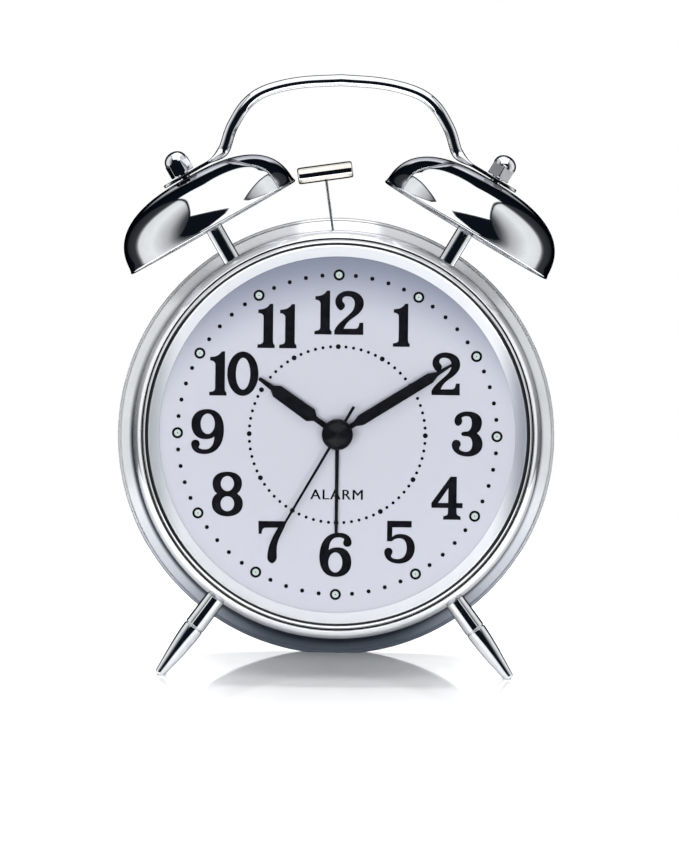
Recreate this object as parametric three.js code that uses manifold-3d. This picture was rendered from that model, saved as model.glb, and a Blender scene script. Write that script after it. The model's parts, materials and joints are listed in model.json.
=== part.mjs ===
// Twin-bell quartz alarm clock, as an assembly of its separate pieces.
// Millimetres, +Z up, dial facing -Y. The clock stands on two feet and on the rear rim of its case,
// so the whole clock leans back. Each piece is modelled in the clock's own upright frame:
// x to the right seen from the front, y back from the front of the bezel, z up from the dial centre.
import * as THREE from 'three';
import { mergeVertices } from 'three/addons/utils/BufferGeometryUtils.js';
import Module from 'manifold-3d';

const wasm = await Module();
wasm.setup();

// Driving dimensions
const RIM_RADIUS = 57.15; // rolled rear rim of the case
const CASE_RADIUS = 52.6; // straight front part of the case
const CASE_WALL = 0.8;
const CASE_FRONT = 5.5;
const RIM_CONTACT_Y = 45; // depth at which the rear rim meets the table
const BEZEL_RADIUS = 53.7;
const BEZEL_DEPTH = 9;
const MOUNT_PLANE = 15.5; // depth of the posts, feet, handle and hammer
const DIAL_FRONT = 10.5;
const GAP = 0.3; // running and assembly clearance
const ROUND = 40; // facets of the large turned pieces

const BELL_ANGLE = THREE.MathUtils.degToRad(30.4);
const BELL_OFFSET = 1.2; // bell axis passes this far outside the dial centre
const BELL_RADIUS = 24.8;
const BELL_HEIGHT = 15;
const BELL_WALL = 1;
const BELL_RIM_DISTANCE = 63.2; // dial centre to the bell's rim plane
const BELL_CROWN_DISTANCE = BELL_RIM_DISTANCE + BELL_HEIGHT;
const POST_RADIUS = 2.25;
const STUD_RADIUS = 1.4;
const STUD_HOLE = 1.7;
const STUD_END = 48.6; // inner end of the post and foot studs, from the dial centre

const HANDLE_WIRE = 1.55;
const EYELET_THICKNESS = 0.8;
const ACORN_ACROSS_FLATS = 5.8;
const ACORN_HEIGHT = 5.7;

const FOOT_ANGLE = THREE.MathUtils.degToRad(36);
const FOOT_RADIUS = 2.75;
const FOOT_TIP_RADIUS = 1.3;
const FOOT_END_DISTANCE = 78.2;
const FOOT_REST_DEPTH = 63.6; // dial centre to the ground, measured down at the feet

const HAMMER_PIVOT_Z = 42;
const HAMMER_ARM = 27.05;
const HAMMER_LEAN = THREE.MathUtils.degToRad(8.4); // rests next to the left bell
const CAM_Z = 31;
const CAM_ECCENTRICITY = 1.6;

const HOUR_TUBE = [1.6, 2.1];
const MINUTE_TUBE = [0.8, 1.3];
const ALARM_TUBE = [2.4, 2.9];
const BUSH = [3.2, 3.8];
const SECOND_ARBOR = 0.5;
const SETTING_SHAFT = 1.5;

const HOUSING_HALF_WIDTH = 29;
const HOUSING_TOP = 22;
const HOUSING_BOTTOM = -38;
const HOUSING_REAR = 38;
const HOUSING_WALL = 1.5;
const COVER_FRONT = 43;
const COVER_REAR = 45;
const COVER_RADIUS = 54.8;
const KNOB_RADIUS = 8;
const SCREW_POSITIONS = [[-24.5, 17.5], [24.5, 17.5], [-24.5, -14.5], [24.5, -14.5]];

// Wheel train: [teeth, module] of each wheel and pinion, and where its arbor stands
const ROTOR_PINION = [6, 0.3];
const INTERMEDIATE_WHEEL = [36, 0.3];
const INTERMEDIATE_PINION = [6, 0.4];
const SECOND_WHEEL = [30, 0.4];
const SECOND_PINION = [6, 0.35];
const THIRD_WHEEL = [48, 0.35];
const THIRD_PINION = [6, 18.9 / 51];
const MINUTE_WHEEL = [45, 18.9 / 51];
const MINUTE_PINION = [8, 0.7];
const MOTION_WHEEL = [24, 0.7];
const MOTION_PINION = [8, 0.56];
const HOUR_WHEEL = [32, 0.56];
const ALARM_WHEEL = [32, 0.6];
const ALARM_PINION = [16, 0.6];
const CAM_WHEEL = [24, 0.5];
const MOTOR_PINION = [8, 0.5];

const centreDistance = ([teethA, moduleA], [teethB, moduleB]) => (teethA * moduleA + teethB * moduleB) / 2;
const SETTING_Z = -4;
const beside = (distance, z) => Math.sqrt(distance * distance - z * z);
const CENTRE = [0, 0];
const THIRD_ARBOR = [0, centreDistance(SECOND_PINION, THIRD_WHEEL)];
const INTERMEDIATE_ARBOR = [0, -centreDistance(INTERMEDIATE_PINION, SECOND_WHEEL)];
const ROTOR_X = -4.5;
const ROTOR_ARBOR = [
  ROTOR_X,
  INTERMEDIATE_ARBOR[1] - beside(centreDistance(ROTOR_PINION, INTERMEDIATE_WHEEL), ROTOR_X),
];
const MOTION_ARBOR = [beside(centreDistance(MINUTE_PINION, MOTION_WHEEL), SETTING_Z), SETTING_Z];
const ALARM_ARBOR = [-beside(centreDistance(ALARM_WHEEL, ALARM_PINION), SETTING_Z), SETTING_Z];
const CAM_ARBOR = [0, CAM_Z];
const MOTOR_ARBOR = [centreDistance(CAM_WHEEL, MOTOR_PINION), CAM_Z];

// Time shown: ten past ten and 35 seconds, with the alarm set for six o'clock
const HOUR_HAND_ANGLE = THREE.MathUtils.degToRad(305);
const MINUTE_HAND_ANGLE = THREE.MathUtils.degToRad(58);
const SECOND_HAND_ANGLE = THREE.MathUtils.degToRad(210);
const ALARM_HAND_ANGLE = THREE.MathUtils.degToRad(180);

const STEEL = { roughness: 0.15, metalness: 1 };
const PLASTIC = { roughness: 0.5, metalness: 0 };
const BRASS_COLOUR = 0xc9a24b;
const CHROME_COLOUR = 0xd8dade;
const ZINC_COLOUR = 0xb4b7ba;
const BLACK = 0x0b0b0d;
const NYLON_COLOUR = 0xe9e6dc;

// Lean, from the two heights that both touch the table
const LEAN = Math.atan((FOOT_REST_DEPTH - RIM_RADIUS) / (RIM_CONTACT_Y - MOUNT_PLANE));

// ---------------------------------------------------------------- solids

function solid(geometry) {
  const bare = geometry.clone();
  bare.deleteAttribute('normal');
  bare.deleteAttribute('uv');
  const merged = mergeVertices(bare, 1e-5);
  const corners = merged.index.array;
  const kept = [];
  for (let i = 0; i < corners.length; i += 3) {
    const [a, b, c] = [corners[i], corners[i + 1], corners[i + 2]];
    if (a !== b && b !== c && c !== a) kept.push(a, b, c);
  }
  const triVerts = Uint32Array.from(kept);
  const vertProperties = Float32Array.from(merged.attributes.position.array);
  return new wasm.Manifold(new wasm.Mesh({ numProp: 3, vertProperties, triVerts }));
}

function geometryOf(manifold) {
  const mesh = manifold.getMesh();
  const geometry = new THREE.BufferGeometry();
  geometry.setAttribute('position', new THREE.BufferAttribute(Float32Array.from(mesh.vertProperties), 3));
  geometry.setIndex(new THREE.BufferAttribute(Uint32Array.from(mesh.triVerts), 1));
  geometry.computeVertexNormals();
  return geometry;
}

const joined = (...geometries) => geometries.map(solid).reduce((sum, next) => sum.add(next));

const cut = (manifold, ...geometries) =>
  geometries.map(solid).reduce((rest, next) => rest.subtract(next), manifold);

// A ring or solid of revolution about the y axis. The profile lists [radius, y] from the front,
// up the outside and back down the inside.
function turned(profile, segments = ROUND) {
  const points = profile.map(([radius, y]) => new THREE.Vector2(radius, y));
  if (profile[0][0] > 0 || profile.at(-1)[0] > 0) points.push(points[0].clone());
  return new THREE.LatheGeometry(points, segments, Math.PI / segments);
}

const ring = (inner, outer, front, rear, segments = ROUND) =>
  turned([[inner, front], [outer, front], [outer, rear], [inner, rear]], segments);

// A round bar along the y axis at [x, z]
function bar(radius, front, rear, [x, z] = CENTRE, segments = 16) {
  const geometry = new THREE.CylinderGeometry(radius, radius, rear - front, segments);
  return geometry.translate(x, (front + rear) / 2, z);
}

function box(x0, x1, y0, y1, z0, z1) {
  const geometry = new THREE.BoxGeometry(x1 - x0, y1 - y0, z1 - z0);
  return geometry.translate((x0 + x1) / 2, (y0 + y1) / 2, (z0 + z1) / 2);
}

const extruded = (outline, depth) =>
  new THREE.ExtrudeGeometry(outline, { depth, bevelEnabled: false, curveSegments: 8 });

// An outline drawn in x and z, given thickness from front to rear
const plate = (outline, front, rear) =>
  extruded(outline, rear - front).rotateX(Math.PI / 2).translate(0, rear, 0);

const outlineOf = (points) => new THREE.Shape(points.map(([x, z]) => new THREE.Vector2(x, z)));

function roundHole(outline, radius, segments = 12) {
  const hole = new THREE.Path();
  for (let i = 0; i <= segments; i += 1) {
    const angle = (-2 * Math.PI * i) / segments;
    const [x, z] = [radius * Math.cos(angle), radius * Math.sin(angle)];
    if (i === 0) hole.moveTo(x, z);
    else hole.lineTo(x, z);
  }
  outline.holes.push(hole);
  return outline;
}

// A clock wheel with pointed teeth: a tooth, or with gapFirst a gap, faces the arbor at mateAt
function toothed([teeth, module], front, rear, at, mateAt, gapFirst) {
  const pitch = (2 * Math.PI) / teeth;
  const radius = (teeth * module) / 2;
  const start = Math.atan2(mateAt[1] - at[1], mateAt[0] - at[0]) + (gapFirst ? pitch / 2 : 0);
  const points = [];
  for (let tooth = 0; tooth < teeth; tooth += 1) {
    const angle = start + tooth * pitch;
    const tip = radius + 0.6 * module;
    const root = radius - 0.9 * module;
    points.push([at[0] + tip * Math.cos(angle), at[1] + tip * Math.sin(angle)]);
    points.push([at[0] + root * Math.cos(angle + pitch / 2), at[1] + root * Math.sin(angle + pitch / 2)]);
  }
  return plate(outlineOf(points), front, rear);
}

// A straight rod from one point to another
function rod(radius, from, to, segments = 12) {
  const start = new THREE.Vector3(...from);
  const along = new THREE.Vector3(...to).sub(start);
  const geometry = new THREE.CylinderGeometry(radius, radius, along.length(), segments);
  geometry.translate(0, along.length() / 2, 0);
  const turn = new THREE.Quaternion().setFromUnitVectors(THREE.Object3D.DEFAULT_UP, along.normalize());
  return geometry.applyQuaternion(turn).translate(...from);
}

// ---------------------------------------------------------------- assembly

const clock = new THREE.Group();
const sin = Math.sin(LEAN);
const cos = Math.cos(LEAN);
const GROUND_HEIGHT = RIM_CONTACT_Y * sin + RIM_RADIUS * Math.cos(Math.PI / ROUND) * cos;
clock.rotation.x = -LEAN;
clock.position.z = GROUND_HEIGHT;
clock.updateMatrixWorld(true);

function add(name, shape, colour, finish, parent = clock) {
  const geometry = shape.getMesh ? geometryOf(shape) : geometryOf(solid(shape));
  const mesh = new THREE.Mesh(geometry, new THREE.MeshStandardMaterial({ color: colour, ...finish }));
  mesh.name = name;
  parent.add(mesh);
}

// A group whose own y axis points out of the case, at an angle from straight up
function radialGroup(angle, offset) {
  const group = new THREE.Group();
  group.rotation.order = 'YXZ';
  group.rotation.set(Math.PI / 2, angle, 0);
  group.position.set(offset * Math.cos(angle), MOUNT_PLANE, -offset * Math.sin(angle));
  clock.add(group);
  group.updateMatrixWorld(true);
  return group;
}

const SIDES = [['left', -1], ['right', 1]];

// ---------------------------------------------------------------- case, bezel and dial

function caseBody() {
  const flare = [[0, 28], [0.4, 34], [1.4, 38.5], [2.8, 41.7], [4.2, 44]];
  const outer = flare.map(([rise, y]) => [CASE_RADIUS + rise, y]);
  const inner = flare.map(([rise, y]) => [CASE_RADIUS + rise - CASE_WALL, y + 0.3]).reverse();
  const roll = [[RIM_RADIUS, RIM_CONTACT_Y], [56.9, 45.7], [56.3, 45.7]];
  const profile = [
    [CASE_RADIUS - CASE_WALL, CASE_FRONT],
    [CASE_RADIUS, CASE_FRONT],
    ...outer,
    ...roll,
    ...inner,
  ];
  let shell = solid(turned(profile));
  for (const [, side] of SIDES) {
    const bellHole = rod(STUD_HOLE, [0, 0, 45], [0, 0, 60]);
    bellHole.translate(side * BELL_OFFSET, MOUNT_PLANE, 0).rotateY(side * BELL_ANGLE);
    const footHole = rod(STUD_HOLE, [0, MOUNT_PLANE, -45], [0, MOUNT_PLANE, -60]);
    footHole.rotateY(-side * FOOT_ANGLE);
    shell = cut(shell, bellHole, footHole);
  }
  return cut(shell, box(-2.8, 2.8, MOUNT_PLANE - 1.3, MOUNT_PLANE + 1.3, 48, 56));
}

function bezel() {
  const face = [[52.8, 0.3], [52, 0], [51.35, 0.15], [51.15, 0.55], [50.9, 0.1], [50.3, 0.2]];
  return turned([
    [CASE_RADIUS + GAP, BEZEL_DEPTH],
    [BEZEL_RADIUS, BEZEL_DEPTH],
    [BEZEL_RADIUS, 2.2],
    [53.4, 1],
    ...face,
    [50.2, 1.2],
    [50.9, 1.2],
    [50.9, CASE_FRONT - GAP],
    [CASE_RADIUS + GAP, CASE_FRONT - GAP],
  ].reverse());
}

function lens() {
  return turned([[0, 1.3], [30, 1.8], [50.6, 2.4], [50.6, 4], [30, 3.4], [0, 2.9]]);
}

function dial() {
  return ring(BUSH[1] + GAP, 51.4, DIAL_FRONT, DIAL_FRONT + 0.8);
}

add('case_body', caseBody(), CHROME_COLOUR, STEEL);
add('bezel', bezel(), CHROME_COLOUR, STEEL);
add('lens_gasket', ring(49.2, 50.6, 1.5, 2.1), BLACK, PLASTIC);
add('lens', lens(), 0xeef4f6, { roughness: 0.05, metalness: 0, transparent: true, opacity: 0.2 });
add('rehaut_ring', turned([[49.2, 4.3], [50.6, 4.3], [50.6, 10.2], [46.7, 10.2]]), 0xf2f3f3, PLASTIC);
add('dial', dial(), 0xd6dae6, { roughness: 0.35, metalness: 0.2 });

// ---------------------------------------------------------------- bells, posts, nuts and feet

// Outer and inner outline of a bell: a squared-off dome with a small rolled lip
function bellProfile() {
  const power = 2.6;
  const dome = (radius, height, steps) => {
    const points = [];
    for (let i = 0; i <= steps; i += 1) {
      const turn = (i / steps) * (Math.PI / 2);
      points.push([radius * Math.cos(turn) ** (2 / power), height * Math.sin(turn) ** (2 / power)]);
    }
    return points;
  };
  const lip = 0.25;
  const outerRadius = BELL_RADIUS - lip;
  const innerRadius = outerRadius - BELL_WALL;
  const innerHeight = BELL_HEIGHT - BELL_WALL;
  const clearOfStud = ([radius]) => radius > STUD_HOLE;
  const outer = dome(outerRadius, BELL_HEIGHT, 8).filter(clearOfStud);
  const inner = dome(innerRadius, innerHeight, 6).filter(clearOfStud);
  return [
    [BELL_RADIUS, 0],
    [BELL_RADIUS, 0.5],
    ...outer.slice(1),
    [STUD_HOLE, BELL_HEIGHT],
    [STUD_HOLE, innerHeight],
    ...inner.slice(1).reverse(),
    [innerRadius, 0],
  ].map(([radius, height]) => [radius, height + BELL_RIM_DISTANCE]);
}

function bellPost() {
  const shoulder = CASE_RADIUS + GAP;
  const top = BELL_CROWN_DISTANCE - BELL_WALL - GAP;
  return turned([
    [0, STUD_END],
    [STUD_RADIUS, STUD_END],
    [STUD_RADIUS, shoulder],
    [POST_RADIUS, shoulder],
    [POST_RADIUS, top],
    [STUD_RADIUS, top],
    [STUD_RADIUS, 82.6],
    [0, 82.6],
  ], 16);
}

function acornNut() {
  const base = BELL_CROWN_DISTANCE + EYELET_THICKNESS + 2 * GAP;
  const corner = ACORN_ACROSS_FLATS / Math.sqrt(3);
  const flats = 3.4;
  const hexagon = new THREE.CylinderGeometry(corner, corner, flats, 6).translate(0, base + flats / 2, 0);
  const crown = [];
  for (let i = 0; i <= 4; i += 1) {
    const turn = (i / 4) * (Math.PI / 2);
    crown.push([2.9 * Math.cos(turn), base + flats + (ACORN_HEIGHT - flats) * Math.sin(turn)]);
  }
  crown[4][0] = 0;
  const cap = turned([[0, base + flats - 0.5], [2.9, base + flats - 0.5], ...crown], 18);
  const bore = turned([[0, base - 1], [STUD_HOLE, base - 1], [STUD_HOLE, base + 3.6], [0, base + 4.2]], 12);
  return cut(joined(hexagon, cap), bore);
}

// Hexagon nut on a stud inside the case
function innerNut() {
  const outer = CASE_RADIUS - CASE_WALL - 0.5;
  const height = 2.4;
  const hexagon = new THREE.CylinderGeometry(3.2, 3.2, height, 6).translate(0, outer - height / 2, 0);
  const bore = turned([[0, 40], [STUD_HOLE, 40], [STUD_HOLE, 60], [0, 60]], 12);
  return cut(solid(hexagon), bore);
}

function foot() {
  const ringAt = BEZEL_RADIUS + 8.8;
  return turned([
    [0, STUD_END],
    [STUD_RADIUS, STUD_END],
    [STUD_RADIUS, CASE_RADIUS + GAP],
    [FOOT_RADIUS - 0.1, CASE_RADIUS + GAP],
    [FOOT_RADIUS, ringAt],
    [FOOT_RADIUS - 0.2, ringAt + 0.25],
    [FOOT_RADIUS, ringAt + 0.5],
    [2.55, ringAt + 4],
    [2.2, ringAt + 8],
    [1.72, ringAt + 12],
    [FOOT_TIP_RADIUS, FOOT_END_DISTANCE - 0.2],
    [0.9, FOOT_END_DISTANCE + 0.2],
    [0, FOOT_END_DISTANCE + 0.2],
  ], 18);
}

for (const [name, side] of SIDES) {
  const bellAxis = radialGroup(side * BELL_ANGLE, side * BELL_OFFSET);
  add(`${name}_bell`, turned(bellProfile(), 30), CHROME_COLOUR, STEEL, bellAxis);
  add(`${name}_bell_post`, bellPost(), CHROME_COLOUR, STEEL, bellAxis);
  add(`${name}_acorn_nut`, acornNut(), CHROME_COLOUR, STEEL, bellAxis);
  add(`${name}_post_nut`, innerNut(), ZINC_COLOUR, STEEL, bellAxis);

  const footAxis = radialGroup(side * (Math.PI - FOOT_ANGLE), 0);
  const ground = box(-200, 200, -200, 200, -50, 0);
  ground.applyMatrix4(footAxis.matrixWorld.clone().invert());
  add(`${name}_foot`, cut(solid(foot()), ground), CHROME_COLOUR, STEEL, footAxis);
  add(`${name}_foot_nut`, innerNut(), ZINC_COLOUR, STEEL, footAxis);
}

// ---------------------------------------------------------------- carrying handle

// Wire arch whose flattened ends are clamped on the bells' crowns
function handle() {
  const outward = [Math.cos(BELL_ANGLE), -Math.sin(BELL_ANGLE)];
  const along = [Math.sin(BELL_ANGLE), Math.cos(BELL_ANGLE)];
  const wireLevel = BELL_CROWN_DISTANCE + GAP + HANDLE_WIRE;
  const onCrown = (inward) => [0, 1].map((k) => wireLevel * along[k] + (BELL_OFFSET - inward) * outward[k]);
  const arch = [
    [30.9, 75.3], [29.4, 78.4], [28.1, 81.4], [25.3, 86], [21.6, 89.2], [16.4, 91.2], [9.5, 92.5],
  ];
  const half = [onCrown(4.4), onCrown(7.4), onCrown(10.1), ...arch];
  const mirrored = half.map(([x, z]) => [-x, z]).reverse();
  const route = [...half, [0, 93.1], ...mirrored].map(([x, z]) => new THREE.Vector3(x, MOUNT_PLANE, z));
  const section = new THREE.Shape();
  section.absarc(0, 0, HANDLE_WIRE, 0, 2 * Math.PI);
  const wire = new THREE.ExtrudeGeometry(section, {
    steps: 44,
    curveSegments: 5,
    extrudePath: new THREE.CatmullRomCurve3(route, false, 'centripetal'),
  });
  const eyelet = (side) => {
    const outline = new THREE.Shape();
    const start = (-side * Math.PI) / 2;
    outline.absarc(side * 1.8, 0, 4.1, start, start + Math.PI);
    outline.lineTo(-side * 6, side * 2);
    outline.lineTo(-side * 6, -side * 2);
    roundHole(outline, STUD_HOLE);
    const sheet = extruded(outline, EYELET_THICKNESS);
    sheet.translate(side * BELL_OFFSET, -MOUNT_PLANE, BELL_CROWN_DISTANCE + GAP);
    return sheet.rotateY(side * BELL_ANGLE).translate(0, 2 * MOUNT_PLANE, 0);
  };
  return joined(wire, eyelet(1), eyelet(-1));
}

add('handle', handle(), CHROME_COLOUR, STEEL);

// ---------------------------------------------------------------- hammer and its striker drive

const hammer = new THREE.Group();
hammer.position.set(0, MOUNT_PLANE, HAMMER_PIVOT_Z);
hammer.rotation.y = -HAMMER_LEAN;
clock.add(hammer);

function hammerRocker() {
  const hub = 3.4;
  const outline = outlineOf([
    [-1.6, 7], [-1.6, 2.8], [-hub, 1], [-hub, -1.4], [-2.6, -8],
    [-2.6, -13.4], [-1.1, -13.4], [-1.1, -8.6], [1.1, -8.6], [1.1, -13.4],
    [2.6, -13.4], [2.6, -8], [hub, -1.4], [hub, 1], [1.6, 2.8], [1.6, 7],
  ].reverse());
  const thickness = 1.3;
  const blank = solid(plate(outline, -thickness, thickness));
  return cut(blank, bar(1 + GAP, -5, 5), rod(0.65, [0, 0, 3.4], [0, 0, 10], 8));
}

function hammerHead() {
  const half = 7.25;
  const profile = [[0, -half], [1.9, -half], [2.2, 0.3 - half], [2.2, half - 0.3], [1.9, half], [0, half]];
  const barrel = turned(profile, 20).rotateZ(-Math.PI / 2).translate(0, 0, HAMMER_ARM);
  return cut(solid(barrel), rod(0.65, [0, 0, HAMMER_ARM - 4], [0, 0, HAMMER_ARM - 0.4], 8));
}

add('hammer_rocker', hammerRocker(), NYLON_COLOUR, PLASTIC, hammer);
add('hammer_wire', rod(0.35, [0, 0, 3.8], [0, 0, HAMMER_ARM - 0.8], 8), ZINC_COLOUR, STEEL, hammer);
add('hammer_head', hammerHead(), 0xd6d3ca, STEEL, hammer);

// Bracket above the movement that carries the hammer's pivot pin and the motor
function strikerBracket() {
  const sheet = box(-16, 19, 11.7, 12.9, 23, 47);
  const pin = bar(1, 12.5, 17.6, [0, HAMMER_PIVOT_Z]);
  const camStud = bar(0.8, 12.5, 13.1 + 0.3, CAM_ARBOR, 12);
  return joined(sheet, pin, camStud);
}

function camGear() {
  const wheel = toothed(CAM_WHEEL, 17.6, 18.8, CAM_ARBOR, MOTOR_ARBOR, false);
  const pin = bar(0.8, 17.1, 18, [CAM_ARBOR[0] + CAM_ECCENTRICITY, CAM_Z], 12);
  const shaft = bar(0.8, 18.5, 20.2, CAM_ARBOR, 12);
  return joined(wheel, pin, shaft);
}

function strikerMotor() {
  const can = solid(bar(7.75, 21, 38, MOTOR_ARBOR, 24));
  const flats = box(0.25, 15.75, 20.5, 38.5, CAM_Z - 6, CAM_Z + 6);
  const shaft = bar(0.75, 16.8, 21.5, MOTOR_ARBOR, 10);
  const boss = bar(2.5, 20, 21.2, MOTOR_ARBOR, 14);
  return can.intersect(solid(flats)).add(joined(shaft, boss));
}

function motorPinion() {
  const blank = solid(toothed(MOTOR_PINION, 17.5, 18.9, MOTOR_ARBOR, CAM_ARBOR, true));
  return cut(blank, bar(0.8, 16, 20, MOTOR_ARBOR, 10));
}

add('striker_bracket', strikerBracket(), ZINC_COLOUR, STEEL);
add('cam_gear', camGear(), NYLON_COLOUR, PLASTIC);
add('striker_motor', strikerMotor(), ZINC_COLOUR, STEEL);
add('motor_pinion', motorPinion(), BRASS_COLOUR, STEEL);

// ---------------------------------------------------------------- hands

// A flat hand whose outline is given along +z from its hub, turned clockwise to its angle
function hand(hub, bore, blade, angle, front, thickness) {
  const rear = front + thickness;
  const blank = plate(outlineOf(blade), front, rear).rotateY(angle);
  const boss = bar(hub, front, rear, CENTRE, 24);
  return cut(joined(blank, boss), bar(bore, front - 1, rear + 1, CENTRE, 16));
}

const mirroredBlade = (half) => [...half.map(([x, z]) => [-x, z]), ...[...half].reverse()];
const hourBlade = mirroredBlade([
  [0.75, 2], [0.75, 7.2], [1.9, 8.6], [1.75, 19.5], [0.75, 21], [0.45, 25.3],
]);
const minuteBlade = mirroredBlade([
  [0.7, 2], [0.7, 5.4], [1.45, 7.2], [1.4, 28.5], [0.6, 30.5], [0.3, 35.6],
]);
const secondBlade = mirroredBlade([[0.4, -8.5], [0.3, 33.5]]);
const alarmBlade = mirroredBlade([[0.5, 3], [0.4, 25.9]]);

const alarmHand = hand(4, ALARM_TUBE[1] + GAP, alarmBlade, ALARM_HAND_ANGLE, 8.9, 0.5);
const hourHand = hand(3.6, HOUR_TUBE[1] + GAP, hourBlade, HOUR_HAND_ANGLE, 7.7, 0.5);
const minuteHand = hand(3.2, MINUTE_TUBE[1] + GAP, minuteBlade, MINUTE_HAND_ANGLE, 6.6, 0.5);
const secondHand = hand(2, SECOND_ARBOR + GAP, secondBlade, SECOND_HAND_ANGLE, 5.5, 0.4);

add('alarm_hand', alarmHand, BLACK, PLASTIC);
add('hour_hand', hourHand, BLACK, PLASTIC);
add('minute_hand', minuteHand, BLACK, PLASTIC);
add('second_hand', secondHand, BLACK, PLASTIC);
add('second_hand_cap', bar(4.07, 4.2, 5.2, CENTRE, 28), BLACK, PLASTIC);

// ---------------------------------------------------------------- movement

function movementFrontPlate() {
  const sheet = box(-HOUSING_HALF_WIDTH, HOUSING_HALF_WIDTH, 11.7, 13.2, HOUSING_BOTTOM, HOUSING_TOP);
  const bush = bar(BUSH[1], 9.8, 12, CENTRE, 24);
  return cut(joined(sheet, bush), bar(BUSH[0], 9, 14, CENTRE, 24));
}

function movementHousing() {
  const width = HOUSING_HALF_WIDTH;
  const inside = width - HOUSING_WALL;
  const partition = -18;
  const bayFloor = 22;
  const front = 13.5;
  const rear = HOUSING_REAR - HOUSING_WALL;
  const floor = HOUSING_BOTTOM + HOUSING_WALL;
  const trainRoom = box(-inside, inside, front - 1, rear, partition, HOUSING_TOP - HOUSING_WALL);
  const frontRoom = box(-inside, inside, front - 1, bayFloor - HOUSING_WALL, floor, partition + 0.5);
  const batteryBay = box(-inside, inside, bayFloor, HOUSING_REAR + 1, floor, partition - HOUSING_WALL);
  let shell = solid(box(-width, width, front, HOUSING_REAR, HOUSING_BOTTOM, HOUSING_TOP));
  shell = cut(shell, trainRoom, frontRoom, batteryBay);
  for (const at of SCREW_POSITIONS) shell = shell.add(solid(bar(2.7, 27, rear + 0.5, at, 12)));
  for (const at of SCREW_POSITIONS) shell = cut(shell, bar(1.4, 28, HOUSING_REAR + 1, at, 10));
  return cut(shell, ...[MOTION_ARBOR, ALARM_ARBOR].map((at) => bar(SETTING_SHAFT + 0.4, 30, 40, at, 14)));
}

function trainBridge() {
  const edge = HOUSING_HALF_WIDTH - HOUSING_WALL - GAP;
  const sheet = solid(box(-edge, edge, 25.1, 26.3, -15, 14));
  const hole = (radius, at) => bar(radius, 24, 27, at, 12);
  return cut(
    sheet,
    ...[CENTRE, THIRD_ARBOR, INTERMEDIATE_ARBOR, ROTOR_ARBOR].map((at) => hole(SECOND_ARBOR + GAP, at)),
    ...[MOTION_ARBOR, ALARM_ARBOR].map((at) => hole(SETTING_SHAFT + GAP, at)),
  );
}

// A wheel carried on a tube that brings its hand in front of the dial
function wheelOnTube(gear, front, rear, mateAt, [inner, outer], tubeFront, extra = []) {
  const wheel = toothed(gear, front, rear, CENTRE, mateAt, false);
  const blank = joined(wheel, bar(outer, tubeFront, rear, CENTRE, 18), ...extra);
  return cut(blank, bar(inner, tubeFront - 1, rear + 5, CENTRE, 16));
}

const arbor = (at, front, rear) => bar(SECOND_ARBOR, front, rear, at, 10);

function secondWheel() {
  return joined(
    arbor(CENTRE, 5.5, 26),
    toothed(SECOND_PINION, 20.2, 21.4, CENTRE, THIRD_ARBOR, false),
    toothed(SECOND_WHEEL, 22, 23, CENTRE, INTERMEDIATE_ARBOR, false),
  );
}

function thirdWheel() {
  return joined(
    arbor(THIRD_ARBOR, 17.2, 26),
    toothed(THIRD_PINION, 18.4, 19.8, THIRD_ARBOR, CENTRE, true),
    toothed(THIRD_WHEEL, 20.3, 21.3, THIRD_ARBOR, CENTRE, true),
  );
}

function intermediateWheel() {
  return joined(
    arbor(INTERMEDIATE_ARBOR, 20.4, 26),
    toothed(INTERMEDIATE_PINION, 21.8, 23.2, INTERMEDIATE_ARBOR, CENTRE, true),
    toothed(INTERMEDIATE_WHEEL, 23.6, 24.6, INTERMEDIATE_ARBOR, ROTOR_ARBOR, false),
  );
}

function rotor() {
  return joined(
    arbor(ROTOR_ARBOR, 22.8, 29.7),
    toothed(ROTOR_PINION, 23.4, 24.8, ROTOR_ARBOR, INTERMEDIATE_ARBOR, true),
    bar(2.5, 26.8, 29.3, ROTOR_ARBOR, 18),
  );
}

function minuteWheel() {
  const pinion = toothed(MINUTE_PINION, 16.8, 18.7, CENTRE, MOTION_ARBOR, false);
  return wheelOnTube(MINUTE_WHEEL, 18.6, 19.6, THIRD_ARBOR, MINUTE_TUBE, 6.3, [pinion]);
}

function motionWheel() {
  return joined(
    toothed(MOTION_PINION, 15.15, 17.1, MOTION_ARBOR, CENTRE, true),
    toothed(MOTION_WHEEL, 17, 18.2, MOTION_ARBOR, CENTRE, true),
    bar(SETTING_SHAFT, 18, 52, MOTION_ARBOR, 14),
  );
}

function alarmSettingShaft() {
  return joined(
    toothed(ALARM_PINION, 13.6, 15, ALARM_ARBOR, CENTRE, true),
    bar(SETTING_SHAFT, 14.5, 52, ALARM_ARBOR, 14),
  );
}

function stator() {
  const [x, z] = ROTOR_ARBOR;
  const sheet = solid(box(x - 10, x + 10, 27.4, 28.6, z - 5, z + 4.4));
  return cut(sheet, bar(2.5 + GAP, 27, 29, ROTOR_ARBOR, 18));
}

function coil() {
  const [x, z] = ROTOR_ARBOR;
  const profile = [[0, -9], [3.2, -9], [3.2, -8], [2.6, -8], [2.6, 8], [3.2, 8], [3.2, 9], [0, 9]];
  return turned(profile, 16).rotateZ(-Math.PI / 2).translate(x, 32.8, z - 1);
}

const hourTubeWheel = wheelOnTube(HOUR_WHEEL, 15.2, 16.4, MOTION_ARBOR, HOUR_TUBE, 7.4);
const alarmTubeWheel = wheelOnTube(ALARM_WHEEL, 13.7, 14.9, ALARM_ARBOR, ALARM_TUBE, 8.7);

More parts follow.
